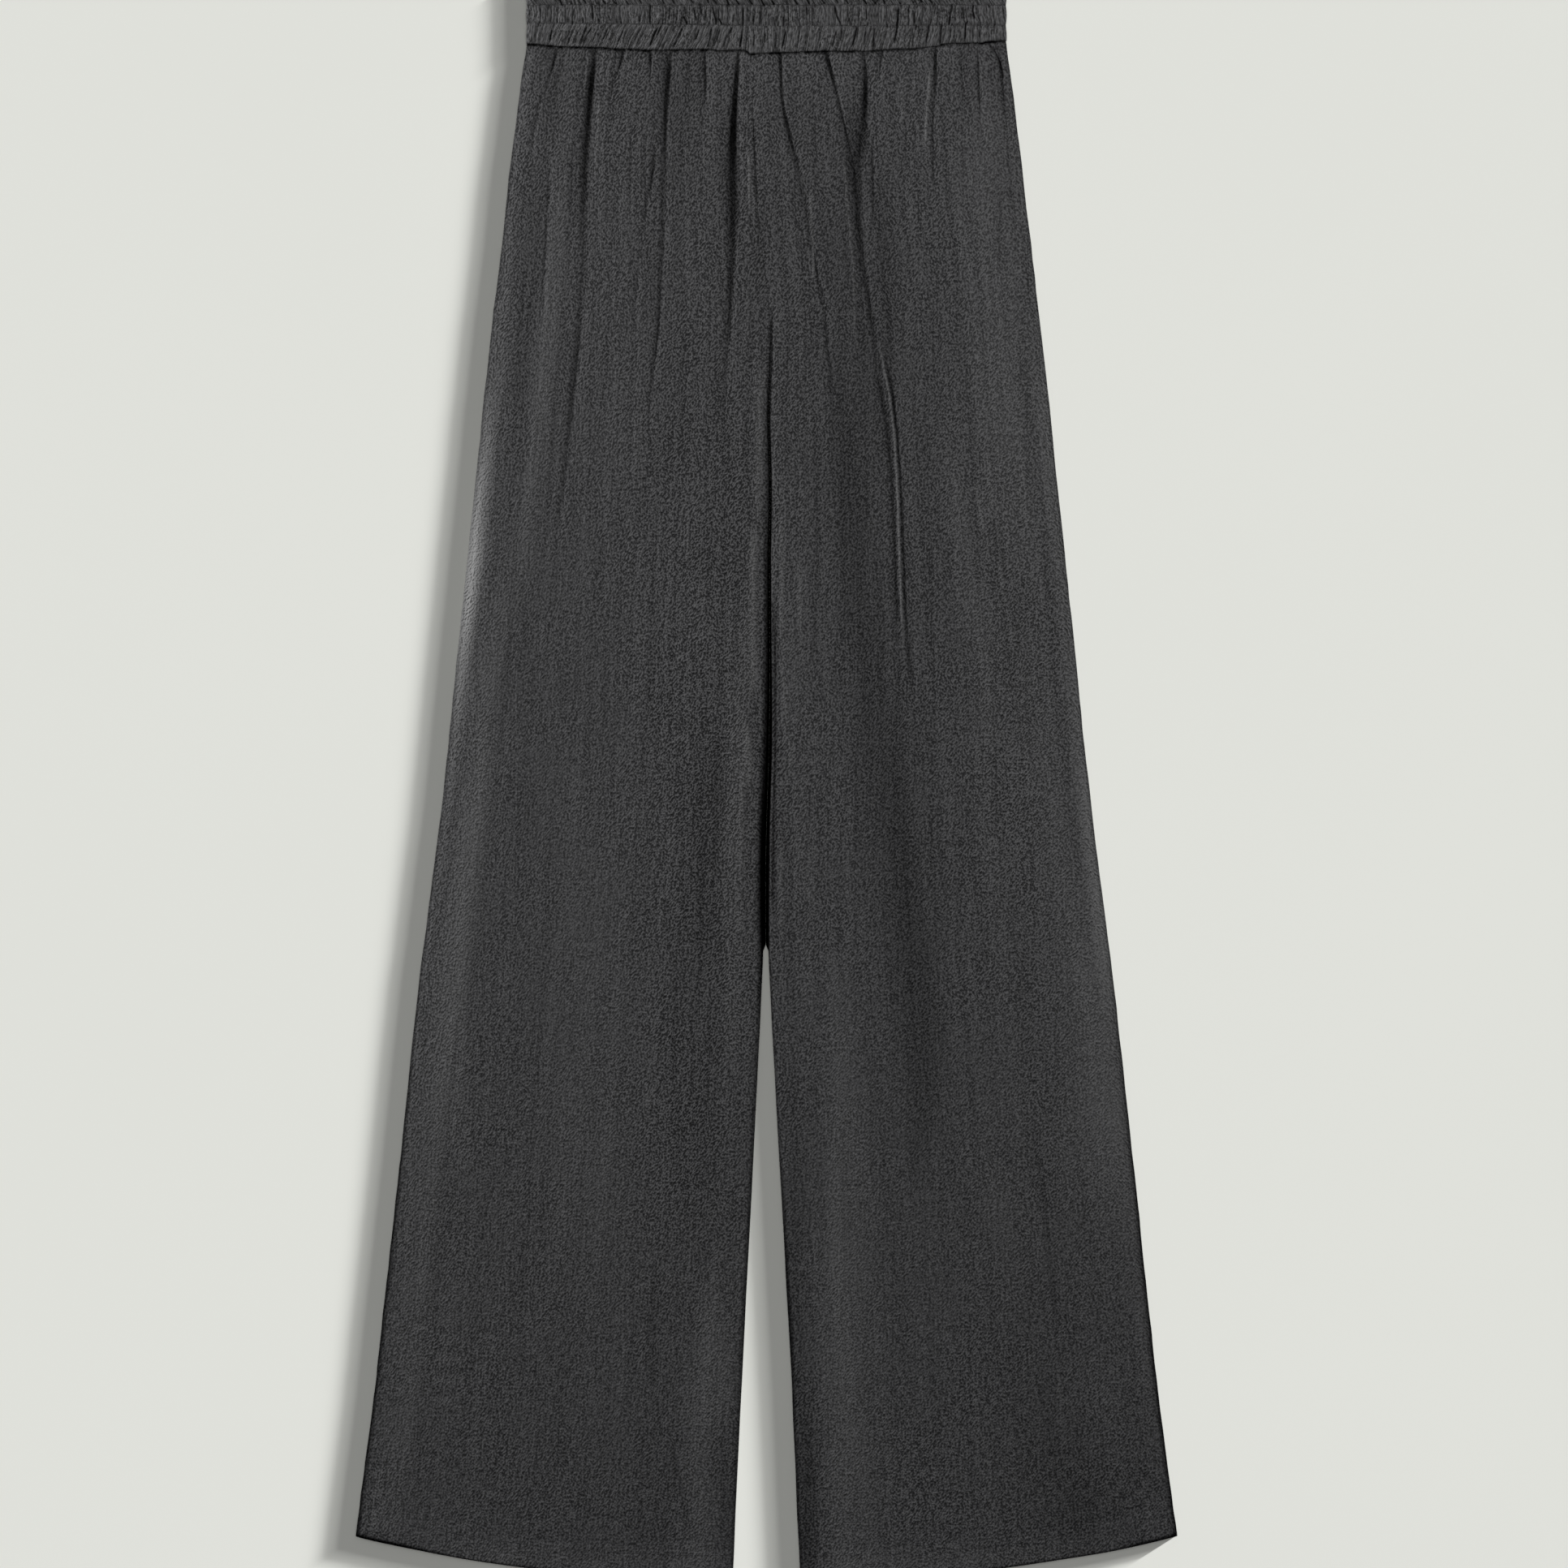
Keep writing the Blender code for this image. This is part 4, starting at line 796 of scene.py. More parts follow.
def gauze(name, layers, relief, contrast, dark, light):
    """Viscose gauze, crinkled by washing and piece-dyed charcoal: a dry matt face broken into tiny
    puckers that catch the light on one side, with slubs along the warp; shade is painted black into the
    folds and highlight paler onto ridges and lit edges. The layers of noise add up to its height and to
    its tone, so the tone holds painted shade in the puckers' valleys and painted light on their tops."""
    material, tree = start_material(name)
    plane, times_add, mix = {"noise_dimensions": "2D"}, {"operation": "MULTIPLY_ADD"}, {"data_type": "RGBA"}
    follows = {"place": add_node(tree, "TexCoord", out="Object"),
               "warp": add_node(tree, "UVMap", {"uv_map": "lie"}, out="UV")}
    # Painted shade and painted highlight of each point, and how lively its puckers are.
    hollow, painted_highlight, lively = (add_node(tree, "Attribute", {"attribute_name": label}, out="Fac")
                             for label in ("hollow", "painted_highlight", "lively"))
    down = add_node(tree, "SeparateXYZ", inputs={0: follows["warp"]}, out="Y")
    patches, calm = (add_node(tree, "TexNoise", plane, {
        "Vector": follows["place"], "Scale": 1 / (size * MM), "Detail": detail})
        for size, detail in ((PATCH, 0.0), (CALM, 1.0)))
    vigour = add_node(tree, "MapRange", inputs={0: calm, 1: 0.3, 2: 0.7, 3: 0.82, 4: 1.18})
    vigour = add_node(tree, "Math", times_add, {0: lively, 1: vigour, 2: vigour})
    height = 0.0
    # Painted light: livelier cloth starts paler.
    tone = add_node(tree, "Math", times_add, {0: lively, 1: LIVELY_PAINTED_LIGHT, 2: 0.5})
    for index, (guide, turn, cell_across, cell_down, fills, in_height, in_tone, at_hem) in enumerate(layers):
        spot = add_node(tree, "Mapping", {"vector_type": "TEXTURE"}, {
            "Vector": follows[guide], "Location": (LAYER_SHIFT[0] * index, LAYER_SHIFT[1] * index, 0.0),
            "Rotation": (0.0, 0.0, math.radians(turn)), "Scale": (cell_across * MM, cell_down * MM, 1.0)})
        noise = add_node(tree, "TexNoise", plane, {"Vector": spot, "Scale": 1.0, "Detail": 0.0})
        swing = add_node(tree, "Math", {"operation": "SUBTRACT"}, {0: noise, 1: 0.5})
        shares = [add_node(tree, "MapRange", inputs={0: down, 1: 0.15, 2: 0.95, 3: 1.0, 4: at_hem}), vigour]
        if fills:
            low, high = 0.5 - 0.16 * fills, 0.5 + 0.16 * fills
            shares.append(add_node(tree, "MapRange", inputs={0: patches, 1: low, 2: high, 3: 0.12, 4: 1.25}))
        for share in shares:
            swing = add_node(tree, "Math", {"operation": "MULTIPLY"}, {0: swing, 1: share})
        # The tone follows the height: painted shade in the puckers' valleys and painted light on their tops,
        # and slub tone along the warp.
        height, tone = (add_node(tree, "Math", times_add, {0: swing, 1: share, 2: so_far})
                        for share, so_far in ((in_height, height), (in_tone * contrast, tone)))
    colour = add_node(tree, "Mix", mix, {0: tone, 6: linear(dark), 7: linear(light)}, 2)
    # Painted highlight on ridges and lit edges, then painted shade in the folds, slit, seams and hem.
    for share, code in ((painted_highlight, HIGHLIGHT_PAINT), (hollow, SHADE_PAINT)):
        colour = add_node(tree, "Mix", mix, {0: share, 6: colour, 7: linear(code)}, 2)
    bump = add_node(tree, "Bump", inputs={"Strength": 1.0, "Distance": relief * MM, "Height": height})
    rough = add_node(tree, "MapRange", inputs={0: tone, 3: 0.97, 4: 0.88})
    gloss, sheen = (add_node(tree, "MapRange", inputs={0: hollow, 3: most, 4: 0.0}) for most in (GLOSS, SHEEN))
    skin = add_node(tree, "BsdfPrincipled", inputs={
        "Base Color": colour, "Normal": bump, "Roughness": rough, "Specular IOR Level": gloss,
        "Sheen Weight": sheen, "Sheen Roughness": 0.55, "Sheen Tint": linear("#b4b4b4")})
    add_node(tree, "OutputMaterial", inputs={"Surface": skin})
    return material


def sewing_thread(name):
    """Polyester sewing thread, spun and dyed charcoal: a twisted dull yarn, its plies shown coarser than
    they are, painted paler where the twist stands up and darker in its grooves, so that a stitch has light
    and dark turns."""
    material, tree = start_material(name)
    along = add_node(tree, "TexCoord", out="Object")
    twist = add_node(tree, "TexNoise", inputs={"Vector": along, "Scale": 1 / (0.7 * MM), "Detail": 1.0})
    # Dye colour with painted light on the twist's tops and painted shade in its grooves.
    dyed = add_node(tree, "Mix", {"data_type": "RGBA"},
                    {0: twist, 6: linear("#161617"), 7: linear("#454546")}, 2)
    bump = add_node(tree, "Bump", inputs={"Strength": 0.6, "Distance": 0.2 * MM, "Height": twist})
    skin = add_node(tree, "BsdfPrincipled", inputs={
        "Base Color": dyed, "Normal": bump, "Roughness": 0.75, "Specular IOR Level": 0.3})
    add_node(tree, "OutputMaterial", inputs={"Surface": skin})
    return material


def paper(name):
    """Matt paper, pale and calendered flat: it gives back a soft even light with hardly any grain."""
    material, tree = start_material(name)
    place_on = add_node(tree, "TexCoord", out="Object")
    grain = add_node(tree, "TexNoise", inputs={"Scale": 3.0, "Detail": 2.0, "Vector": place_on})
    tint = add_node(tree, "Mix", {"data_type": "RGBA"},
                    {0: grain, 6: linear("#e0e1db"), 7: linear("#e2e3dd")}, 2)
    skin = add_node(tree, "BsdfPrincipled", inputs={
        "Base Color": tint, "Roughness": 0.95, "Specular IOR Level": 0.1})
    add_node(tree, "OutputMaterial", inputs={"Surface": skin})
    return material


# ------------------------------------------------------------------------------------ camera, floor, light

VIEW_CENTRE = (11.9 * MM, -6.3 * MM)
VIEW_WIDTH = 1062.6 * MM
CAMERA_HEIGHT = 6.0
SENSOR = 36.0
FLOOR_HALF = 6.0
FLOOR_DROP = 0.02 * MM

# Suns that only the floor sees: strength, azimuth (0 is +X, 90 is +Y), elevation and spread in degrees,
# and whether the flat backs alone shade it. The low ones lay the garment's soft shadow.
FLOOR_SUNS = {"floor_top": (0.68, 0.0, 88.0, 60.0, False), "floor_low": (39.4, 32.5, 1.82, 1.05, True),
              "floor_low_wide": (19.5, 32.5, 2.46, 3.0, True)}
# Softboxes that only the cloth sees: watts, place, what they aim at, width and height.
SOFTBOXES = {"cloth_top": (14.0, (0.0, 0.9, 1.9), (0.0, 0.1, 0.0), 1.4, 0.9),
             "cloth_left": (52.0, (-1.9, 0.9, 0.75), (0.0, 0.2, 0.0), 0.5, 0.5),
             "cloth_right": (25.0, (1.9, 0.9, 0.8), (0.0, 0.2, 0.0), 0.5, 0.5)}
SKY = 0.10


def add_camera():
    """A camera straight above, far enough off that the garment keeps its proportions."""
    lens = bpy.data.cameras.new("camera")
    lens.sensor_width = SENSOR
    lens.lens = SENSOR * CAMERA_HEIGHT / VIEW_WIDTH
    lens.clip_end = 50.0
    camera = bpy.data.objects.new("camera", lens)
    camera.location = (*VIEW_CENTRE, CAMERA_HEIGHT)
    bpy.context.scene.collection.objects.link(camera)
    bpy.context.scene.camera = camera


def add_floor():
    """A pale paper sweep, a hair below the garment."""
    corners = np.array([(-1, -1, 0), (1, -1, 0), (1, 1, 0), (-1, 1, 0)]) * FLOOR_HALF - (0, 0, FLOOR_DROP)
    floor = add_piece("floor", paper("matt_paper_sweep_pale"), corners, [(0, 1, 2, 3)])
    return floor


def group(name, pieces):
    """A collection of pieces for the lights to be linked to."""
    collection = bpy.data.collections.new(name)
    for piece in pieces:
        collection.objects.link(piece)
    return collection


def add_lamp(name, kind, settings, location, turn, receivers, blockers=None):
    """A light with its settings, which lights only the receivers and, if blockers are given, is kept
    off by nothing else."""
    light = bpy.data.lights.new(name, kind)
    for label, value in settings.items():
        setattr(light, label, value)
    lamp = bpy.data.objects.new(name, light)
    lamp.location = location
    lamp.rotation_euler = turn
    bpy.context.scene.collection.objects.link(lamp)
    lamp.light_linking.receiver_collection = receivers
    if blockers is not None:
        lamp.light_linking.blocker_collection = blockers


def add_lights(floor, cloths, shadow_casters):
    """Soft light from above, a raking light from the left and a weaker one from the right on the cloth,
    and two low lights that lay a shadow of the flat backs on the floor, dark beside the cloth and fading
    out."""
    on_floor = group("lit_floor", [floor])
    on_cloth = group("lit_cloth", cloths)
    casting = group("shadow_casters", shadow_casters)
    world = bpy.data.worlds.new("studio")
    world.use_nodes = True
    world.node_tree.nodes["Background"].inputs["Color"].default_value = (1.0, 1.0, 1.0, 1.0)
    world.node_tree.nodes["Background"].inputs["Strength"].default_value = SKY
    bpy.context.scene.world = world
    for name, (strength, azimuth, elevation, spread, backs_only) in FLOOR_SUNS.items():
        add_lamp(name, "SUN", {"energy": strength, "angle": math.radians(spread)}, (0.0, 0.0, 3.0),
                 (0.0, math.radians(90 - elevation), math.radians(azimuth)),
                 on_floor, casting if backs_only else None)
    for name, (watts, location, aim_at, width, height) in SOFTBOXES.items():
        add_lamp(name, "AREA", {"shape": "RECTANGLE", "size": width, "size_y": height, "energy": watts},
                 location, (Vector(aim_at) - Vector(location)).to_track_quat("-Z", "Y").to_euler(), on_cloth)


# -------------------------------------------------------------------------------------------- the garment

def laid_over(*shades):
    """Shades laid over each other: 1 less the product of what each lets through."""
    light = 1.0
    for shade in shades:
        light = light * (1.0 - shade)
    return 1.0 - light


def seam_beads(x, fine, broad):
    """Uneven strength of the painted shade line along the waist seam: fine beads in broader runs."""
    return 0.74 + fine * lumps(x / (1.3 * MM), 0.3, 61) + broad * lumps(x / (3.4 * MM), 0.8, 63)


def front_shades(x, depth, side):
    """Painted shade and painted highlight of a point of a front, both from 0 to 1: shade from the gathers,
    folds, stripes and pressed lines, the slit, the waist seam, the hem and the outer edge; highlight on the
    ridges, above the hem and on the outer edges that catch the light."""
    fold_strength, corner_from, corner_ease, corner_strength = CORNERS[side]
    to_side = np.abs(side_edge(depth, side) - x)
    to_inner = np.abs(x - front_inner_edge(depth, side))
    gathers, folds, lines = (form(x, depth) / MM for form in (gather_depth, swell_height, crease_height))
    # Painted shade in the trenches of the gathers and in the hollows of folds, pressed lines and stripes;
    # painted highlight on their ridges.
    lit, darkest = TRENCH_SHADES
    hollow = np.clip(-gathers / TRENCH_FULL - lit, 0.0, darkest) * smooth(depth / (4 * MM) + 0.6)
    painted_highlight = 0.0
    for form, (dark, highlight_strength) in zip((folds, lines, stripes(x, depth, side)), FORM_SHADES):
        hollow = hollow + dark * np.clip(-form, 0.0, None)
        painted_highlight = painted_highlight + highlight_strength * np.clip(form, 0.0, None)
    # Painted shade along the slit, the waist seam, the outer edge, beside the inseam and along the hem.
    reach, strength = read_table(SLIT_SHADE, depth, 8, 8, 8, 8)[side > 0::2]
    slit = strength / MM * np.clip(1.25 - to_inner / reach, 0.0, 1.0)
    beads = seam_beads(x, 0.26, 0.36) + 0.6 * bell(x - 153.5 * MM, 5 * MM)
    seam = np.clip(beads, 0.2, 1.0) * bell(depth - waist_seam(x), SEAM_LINE, 4)
    rim = read_table(EDGE_LIGHT, depth, 14, 14)[side > 0] / MM
    lower = smooth((depth - LOWER_LEG[0]) / LOWER_LEG[1])
    outline = (0.46 + 0.24 * lower) * bell(to_side, (1.5 + 0.7 * lower) * MM)
    outline = outline * (1.0 - 0.9 * smooth((rim - 0.3) / 0.5))
    outline += 0.24 * lower * bell(to_side, 5.5 * MM)
    fold = fold_strength * bell(depth - INSEAM_FOLD, np.where(depth < INSEAM_FOLD, FOLD_ABOVE, FOLD_BELOW))
    outline += fold * bell(to_inner, 2.9 * MM, 3)
    across = to_inner / (to_inner + to_side)
    to_hem = hem(across, side) - depth
    corner = smooth((across - corner_from) / corner_ease)
    foot = (0.46 + corner_strength * corner) * bell(to_hem, (1.2 + 1.3 * corner) * MM, 4)
    # Painted highlight in a strip above the hem and on the outer edges that catch the light.
    painted_highlight += 0.07 * (1.0 - corner) * bell(to_hem - 7 * MM, 6 * MM)
    broad = 1.0 - smooth((to_side - 6 * MM) / (8 * MM))
    painted_highlight += rim * (0.60 * broad + 0.34 * bell(to_side - 3.4 * MM, 2.2 * MM))
    return {"hollow": laid_over(np.clip(hollow, 0.0, 1.0), slit, seam, outline, foot), "painted_highlight": painted_highlight}


def add_front_leg(side, name, material):
    """A front: its fine upper face, and a coarser lower one under it."""
    down = front_rows(FRONT_ROWS)
    across = crowded(side, down, FRONT_COLUMNS)
    x, depth = panel_grid(side, front_inner_edge, down, across)
    top = front_top(x, depth, side)
    under = lowest_near(top, *FRONT_STEPS) - SHELL
    under[:, [0, -1]] = top[:, [0, -1]] - SHELL
    x, depth, top, under = (part[:, ::side] for part in (x, depth, top, np.maximum(under, LOWEST)))
    shades = front_shades(x, depth, side)
    shades["lively"] = sum(share * bell(x / MM - at, wide) * bell(depth / MM - below, long)
                           for at, below, wide, long, share in LIVELY)
    centre = read_table(CENTRE, depth, 7)[0]
    drawn = 0.75 * fan(x, depth, side) + 0.25 * side * np.abs(x - centre)
    return add_cloth(name, material, (x, depth, top, under), FRONT_STEPS, (drawn, depth), 0.15, shades)


def add_back_leg(side, name, material):
    """A back: flat underneath, a little inside the front's outline, with rounded cut edges."""
    at_slit = np.linspace(SLIT_TOP - 4 * MM, SLIT_TOP + 12 * MM, 9) / LEG_LENGTH
    even, at_hem = np.linspace(0.0, 1.0, BACK_ROWS), np.linspace(0.996, 1.0, 4)
    down = np.unique(np.concatenate([even, at_hem, at_slit]))[:, None]
    wave = np.cos(np.pi * np.linspace(0.0, 1.0, BACK_COLUMNS))
    share = 0.5 - 0.5 * wave * (0.75 + 0.25 * wave ** 2)
    x, depth = panel_grid(side, back_inner_edge, down, np.broadcast_to(share, (len(down), len(share))))
    x = x - side * 0.7 * MM * np.exp(-np.abs(side_edge(depth, side) - x) / (8 * MM))
    x, depth = x[:, ::side], depth[:, ::side]
    to_inner = np.abs(x - back_inner_edge(depth, side))
    to_edge = np.minimum(np.abs(side_edge(depth, side) - x), to_inner + 0.5 * MM)
    top = BACK_TOP - 0.35 * MM * sunk(to_edge, 1.2 * MM)
    # Painted shade where the back shows through the slit between the fronts.
    shade_through_slit = 1.0 - smooth((to_inner - 9 * MM) / (4 * MM))
    shade_through_slit = shade_through_slit * smooth((SLIT_TOP + 12 * MM - depth) / (10 * MM))
    return add_cloth(name, material, (x, depth, top, 0.0 * top), (1, 1), (side * np.abs(x), depth), 0.0,
                     {"hollow": shade_through_slit, "painted_highlight": 0.0 * shade_through_slit})


def row_tilt(x):
    """How far the first row of stitches above the seam wanders off the level."""
    at, up = np.array(ROW_TILT).T * MM
    return np.interp(x, at, up)


def row_height(index, x):
    """Height over the seam line of a row of stitches, or of the top."""
    return TIER_EDGES[index] + row_tilt(x) * (index == 1)


def band_half_width(height):
    """Half the band's width: it bulges a little between two rows of stitches."""
    tier = np.clip(np.searchsorted(TIER_EDGES, height, side="right") - 1, 0, len(TIER_EDGES) - 2)
    within = (height - TIER_EDGES[tier]) / (TIER_EDGES[tier + 1] - TIER_EDGES[tier])
    bulge = 0.55 * MM * np.sin(np.pi * np.clip(within, 0.0, 1.0))
    return BAND_HALF_WIDTH + 0.2 * MM + bulge - BAND_CORNER * sunk(BAND_HEIGHT - height, BAND_CORNER)


def band_grid(rows, across):
    """X and height over the seam line of the band's points, between its wavy lower edge, a hair above
    the waist seam, and its top."""
    across = np.linspace(-1.0, 1.0, across)[None, :]
    lower = 0.15 * MM - waist_seam(BAND_HALF_WIDTH * across)
    height = lower + (BAND_HEIGHT - lower) * np.linspace(0.0, 1.0, rows)[:, None]
    return band_half_width(height) * across, height


def puffs(s, seed):
    """Uneven gathers along one tier: valleys at random spacings, and between two of them the cloth
    rises as a rounded arch of its own height. Returns the arch from 0 to 1."""
    dice = np.random.default_rng(seed)
    spacing = dice.choice(PUFF_WIDTHS, size=PUFFS, p=PUFF_ODDS) * MM
    spacing = spacing * dice.uniform(0.88, 1.12, PUFFS)
    arch_height = dice.uniform(0.5, 1.0, PUFFS) * np.clip(spacing / (4.4 * MM), 0.5, 1.0)
    valley = dice.uniform(0.0, 0.85, PUFFS + 1) ** 1.2
    edges = np.concatenate([[0.0], np.cumsum(spacing)]) - 0.26
    slot = np.clip(np.searchsorted(edges, s) - 1, 0, PUFFS - 1)
    t = np.clip((s - edges[slot]) / spacing[slot], 0.0, 1.0)
    foot = (valley[slot] * (1 - smooth(t)) + valley[slot + 1] * smooth(t)) * arch_height[slot]
    return foot + (arch_height[slot] - foot) * np.sin(np.pi * t) ** 0.8


def strokes(s, spacing, seed):
    """Tight creases at uneven spacings along a tier: a narrow bell at each, of its own strength."""
    dice = np.random.default_rng(seed)
    places = np.cumsum(spacing * dice.uniform(0.45, 1.6, STROKES)) - 0.24
    power = dice.uniform(0.35, 1.0, STROKES + 1)
    after = np.clip(np.searchsorted(places, s), 1, STROKES - 1)
    return sum(power[near] * bell(s - places[near], 0.55 * MM) for near in (after - 1, after))


def band_relief(x, height):
    """The shirring: in each tier arches that lean their own way, pinched flat at the rows of stitches.
    Returns the arch and the tight creases, from 0 to 1, and the leaning coordinate along the band."""
    rise, tight, along = np.zeros_like(x), np.zeros_like(x), x.copy()
    for tier in range(len(TIER_EDGES) - 1):
        low = row_height(tier, x) if tier else -waist_seam(x)
        high = row_height(tier + 1, x)
        within = (height - low) / (high - low)
        inside = (within >= 0.0) & (within < 1.0)
        if tier:
            mean, swing, length, row = UPPER_LEANS[tier - 1]
            angle = mean + swing * lumps(x / (length * MM), row, 30 + tier)
        else:
            at, leans = np.array(LEANS).T
            angle = np.interp(x, at * MM, leans)
        waver = 0.5 * MM * lumps(x / (12 * MM), height / (8 * MM), 34 + tier)
        s = x - np.tan(np.radians(angle)) * (height - (low + high) / 2) + waver
        fine = lumps(s / (1.2 * MM), height / (10 * MM), 41 + tier)
        pinch = np.sin(np.pi * np.clip(within, 0.0, 1.0)) ** 0.45
        runs = smooth(lumps(s / (7 * MM), height / (6 * MM), 71 + tier) + 0.7)
        creases = strokes(s, 9 * MM, 57 + tier) * (0.35 + 0.65 * runs) * (0.15 if tier < 2 else 1.0)
        rise = np.where(inside, (0.34 * (1 - pinch) + pinch) * (puffs(s, 51 + tier) + 0.12 * fine), rise)
        tight = np.where(inside, creases, tight)
        along = np.where(inside, s, along)
    tight = tight * (1.0 - 0.8 * (np.abs(height - 31 * MM) < 2 * MM))
    pleats = crease_height(x, height, [(depth, PLEAT_HALF_WIDTH, *points) for depth, *points in BAND_PLEATS])
    return rise, np.clip(tight + 1.3 * pleats / MM, 0.0, 1.0), along


def band_top(x, height):
    """Height of the band's upper face, its painted shade in the gathers, creases, rows of stitches and
    waist seam, and the leaning coordinate.
    """
    rise, tight, along = band_relief(x, height)
    over_seam = height + waist_seam(x)
    to_side = band_half_width(height) - np.abs(x)
    side = rolled(to_side, 6 * MM)
    pulled = sum(bell(height - row_height(index, x), STITCH_PINCH) for index in (1, 2, 3))
    top = BAND_BASE + 1.0 * MM + (VALLEY_RISE + PUFF_RISE * rise) * MM * side - STROKE_DROP * tight * side
    top -= 0.28 * MM * pulled * side
    for distance, radius in ((over_seam, 1.6 * MM), (BAND_HEIGHT - height, 1.8 * MM), (to_side, 1.8 * MM)):
        top -= 0.9 * MM * sunk(distance, radius)
    # Painted shade: dots at the rows of stitches, a line along the waist seam, the valleys between puffs and
    # the tight creases.
    dots = np.clip(lumps(x / (1.7 * MM), 0.6, 62), 0.0, 1.0)
    seam = np.clip(seam_beads(x, 0.3, 0.34), 0.0, 1.0) * bell(over_seam, BAND_SEAM_LINE, 4)
    hollow = np.clip(0.31 - 0.85 * rise + 0.08 * smooth((height - 13 * MM) / (6 * MM)), 0.0, 0.5)
    return top, laid_over(hollow, 0.88 * tight, 0.55 * dots * pulled, seam), along


def add_waistband_front(name, material):
    """The shirred front half of the band."""
    x, height = band_grid(BAND_ROWS, BAND_COLUMNS)
    top, hollow, along = band_top(x, height)
    under = lowest_near(top, *BAND_REACH) - SHELL
    under = np.minimum(np.maximum(under, BAND_BASE - 0.2 * MM), top - 0.2 * MM)
    under[:, [0, -1]] = BAND_BACK_TOP - 0.2 * MM
    x, height, top, under, hollow, along = (part[::-1] for part in (x, height, top, under, hollow, along))
    return add_cloth(name, material, (x, -height, top, under), BAND_STEPS, (along, height), 1.0,
                     {"hollow": hollow, "painted_highlight": 0.0 * hollow})


def add_waistband_back(name, material):
    """The back half of the band, flat on the ground, with rounded edges."""
    x, height = (part[::-1] for part in band_grid(BAND_BACK_ROWS, BAND_BACK_COLUMNS))
    x = x * (1.0 - 0.5 * MM / BAND_HALF_WIDTH)
    to_edge = np.minimum(band_half_width(height) - np.abs(x), BAND_HEIGHT - height)
    top = BAND_BACK_TOP - 0.3 * MM * sunk(to_edge, 1.2 * MM)
    rows = sum(bell(height - row, STITCH_PINCH) for row in TIER_EDGES[1:-1])
    # Painted shade in beads along the rows of stitches.
    hollow = 0.55 * rows * (0.5 + 0.5 * lumps(x / (1.5 * MM), 0.6, 62))
    return add_cloth(name, material, (x, -height, top, 0.0 * top), (1, 1), (x, height), 1.0,
                     {"hollow": hollow, "painted_highlight": 0.0 * hollow})


def add_stitches(name, ends, surface, material):
    """Thread stitches. Each is a six-sided capsule bent over the cloth: four rings between two tips,
    which dip into the cloth. Ends holds x, y of both ends of every stitch; surface gives the height."""
    start, finish = ends[:, None, :2], ends[:, None, 2:]
    middle = start + (finish - start) * np.array(STITCH_SHARES)[None, :, None]
    z = surface(middle[..., 0], middle[..., 1]) + np.array(STITCH_PROUD) * MM
    ahead = (finish - start) / np.linalg.norm(finish - start, axis=-1, keepdims=True)
    beside = np.stack([-ahead[..., 1], ahead[..., 0]], axis=-1)
    turn = np.linspace(0.0, 2.0 * np.pi, STITCH_SIDES + 1)[:-1]
    rings = middle[:, 1:-1, None, :] + THREAD_RADIUS * np.cos(turn)[None, None, :, None] * beside[:, :, None, :]
    ring_z = z[:, 1:-1, None] + THREAD_RADIUS * np.sin(turn)
    body = np.concatenate([rings, ring_z[..., None]], axis=-1).reshape(len(ends), -1, 3)
    tips = np.concatenate([middle[:, [0, -1]], z[:, [0, -1], None]], axis=-1)
    vertices = np.concatenate([body, tips], axis=1)
    tip = body.shape[1]
    last_ring = tip - STITCH_SIDES
    sides = [(k, (k + 1) % STITCH_SIDES) for k in range(STITCH_SIDES)]
    one = [[ring + k, ring + after, ring + STITCH_SIDES + after, ring + STITCH_SIDES + k]
           for ring in range(0, last_ring, STITCH_SIDES) for k, after in sides]
    one += [[tip, after, k] for k, after in sides]
    one += [[tip + 1, last_ring + k, last_ring + after] for k, after in sides]
    faces = [[first + corner for corner in face]
             for first in range(0, vertices.shape[0] * vertices.shape[1], vertices.shape[1]) for face in one]
    return add_piece(name, material, vertices.reshape(-1, 3), faces)


def row_of_stitches(first, last, pitch, length):
    """Starts and finishes along a row, with a small seeded unevenness of each stitch."""
    places = np.arange(first, last - length, pitch)
    dice = np.random.default_rng(91)
    places = places + dice.uniform(-0.12, 0.12, len(places)) * pitch
    return places, places + length


def band_stitches(name, material):
    """The rows of stitches that hold the elastic of the band's front."""
    ends = []
    for index in (1, 2, 3):
        half = band_half_width(np.array(TIER_EDGES[index])) - 3 * MM
        start, finish = row_of_stitches(-half, half, 3.1 * MM, 2.1 * MM)
        spots = [part for x in (start, finish) for part in (x, SEAM_Y + row_height(index, x))]
        ends.append(np.stack(spots, axis=-1))
    return add_stitches(name, np.concatenate(ends), lambda x, y: band_top(x, y - SEAM_Y)[0], material)


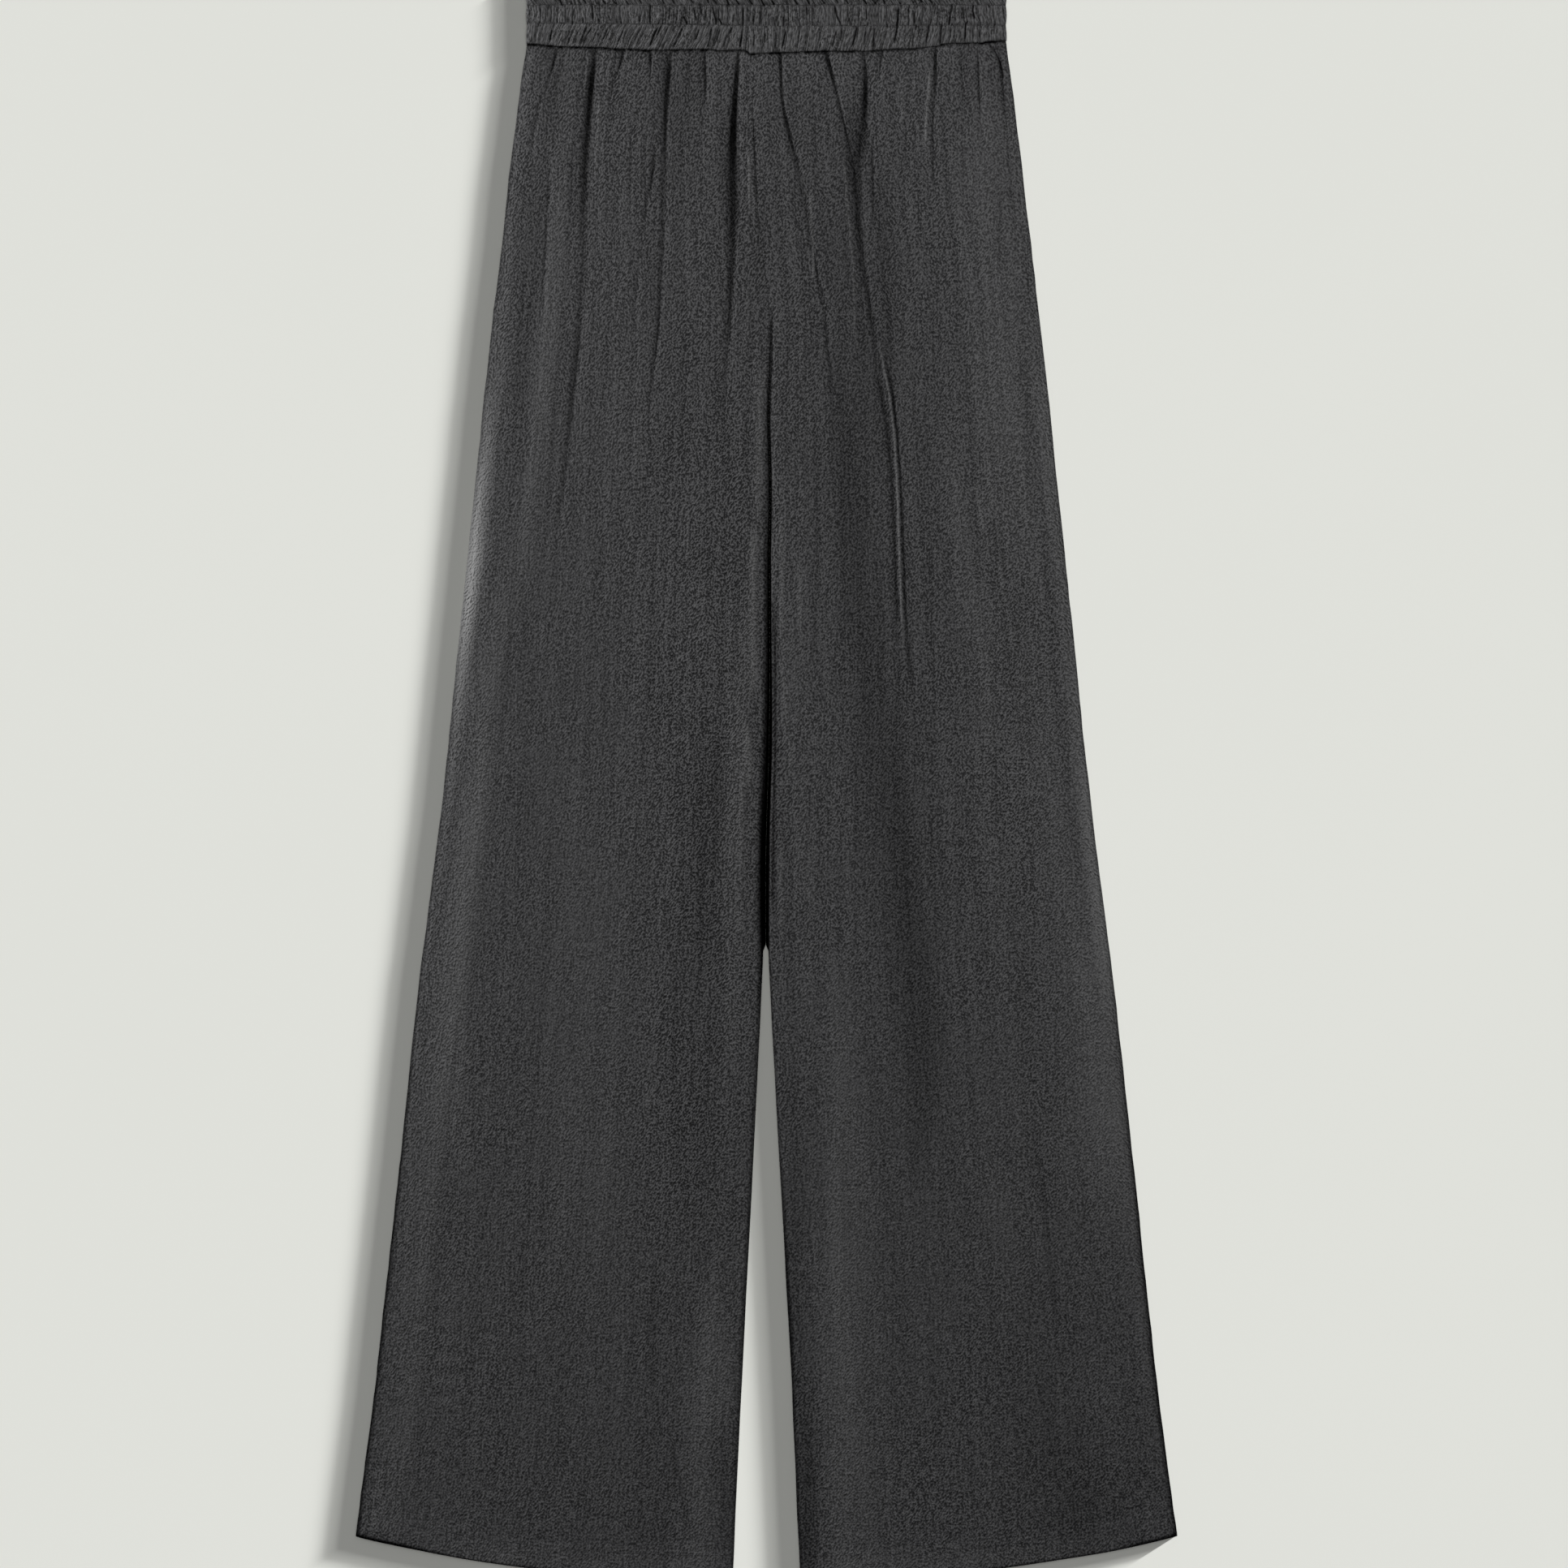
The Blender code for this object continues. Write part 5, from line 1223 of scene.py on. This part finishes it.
def hem_stitches(side, name, material):
    """The row of stitches along a hem's upper edge, 3.3 mm apart and 2.2 mm long."""
    flat_width = 255

    def spot(share):
        depth = hem(share, side) - HEM_WIDTH + HEM_STITCH_IN
        return x_at(share, depth, side, front_inner_edge), SEAM_Y - depth

    shares = row_of_stitches(0.015, 0.985, 3.3 / flat_width, 2.2 / flat_width)
    ends = np.stack([part for share in shares for part in spot(share)], axis=-1)
    return add_stitches(name, ends, lambda x, y: front_top(x, SEAM_Y - y, side), material)


add_camera()
floor = add_floor()

leg_gauze = gauze("crinkled_viscose_gauze_dyed_charcoal", LEG_CRINKLE, 2.2, 1.45, "#232324", "#4d4d4e")
band_gauze = gauze("crinkled_viscose_gauze_shirred_on_elastic", BAND_CRINKLE, 2.0, 1.3, "#292929", "#5a5a5b")
thread = sewing_thread("polyester_sewing_thread_dyed_charcoal")

front_right = add_front_leg(-1, "front_right_cloth", leg_gauze)
front_left = add_front_leg(1, "front_left_cloth", leg_gauze)
back_right = add_back_leg(-1, "back_right_cloth", leg_gauze)
back_left = add_back_leg(1, "back_left_cloth", leg_gauze)
band_front = add_waistband_front("waistband_front_shirring", band_gauze)
band_back = add_waistband_back("waistband_back_shirring", band_gauze)
band_thread = band_stitches("waistband_stitches", thread)
right_thread = hem_stitches(-1, "hem_stitches_right", thread)
left_thread = hem_stitches(1, "hem_stitches_left", thread)

for piece, node, slot in (
    (front_right, "front_leg_right", "leg_cloth"),
    (front_left, "front_leg_left", "leg_cloth"),
    (back_right, "back_leg_right", "leg_cloth"),
    (back_left, "back_leg_left", "leg_cloth"),
    (band_front, "waistband_front", "band_cloth"),
    (band_back, "waistband_back", "band_cloth"),
):
    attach(piece, "root")
    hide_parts(node)
for stitches, slot in ((band_thread, "band_cloth"), (right_thread, "leg_cloth"), (left_thread, "leg_cloth")):
    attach(stitches, "root")

add_lights(floor, [front_right, front_left, back_right, back_left, band_front, band_back,
                   band_thread, right_thread, left_thread],
           [back_right, back_left, band_back])
bpy.context.scene.view_settings.view_transform = "Standard"
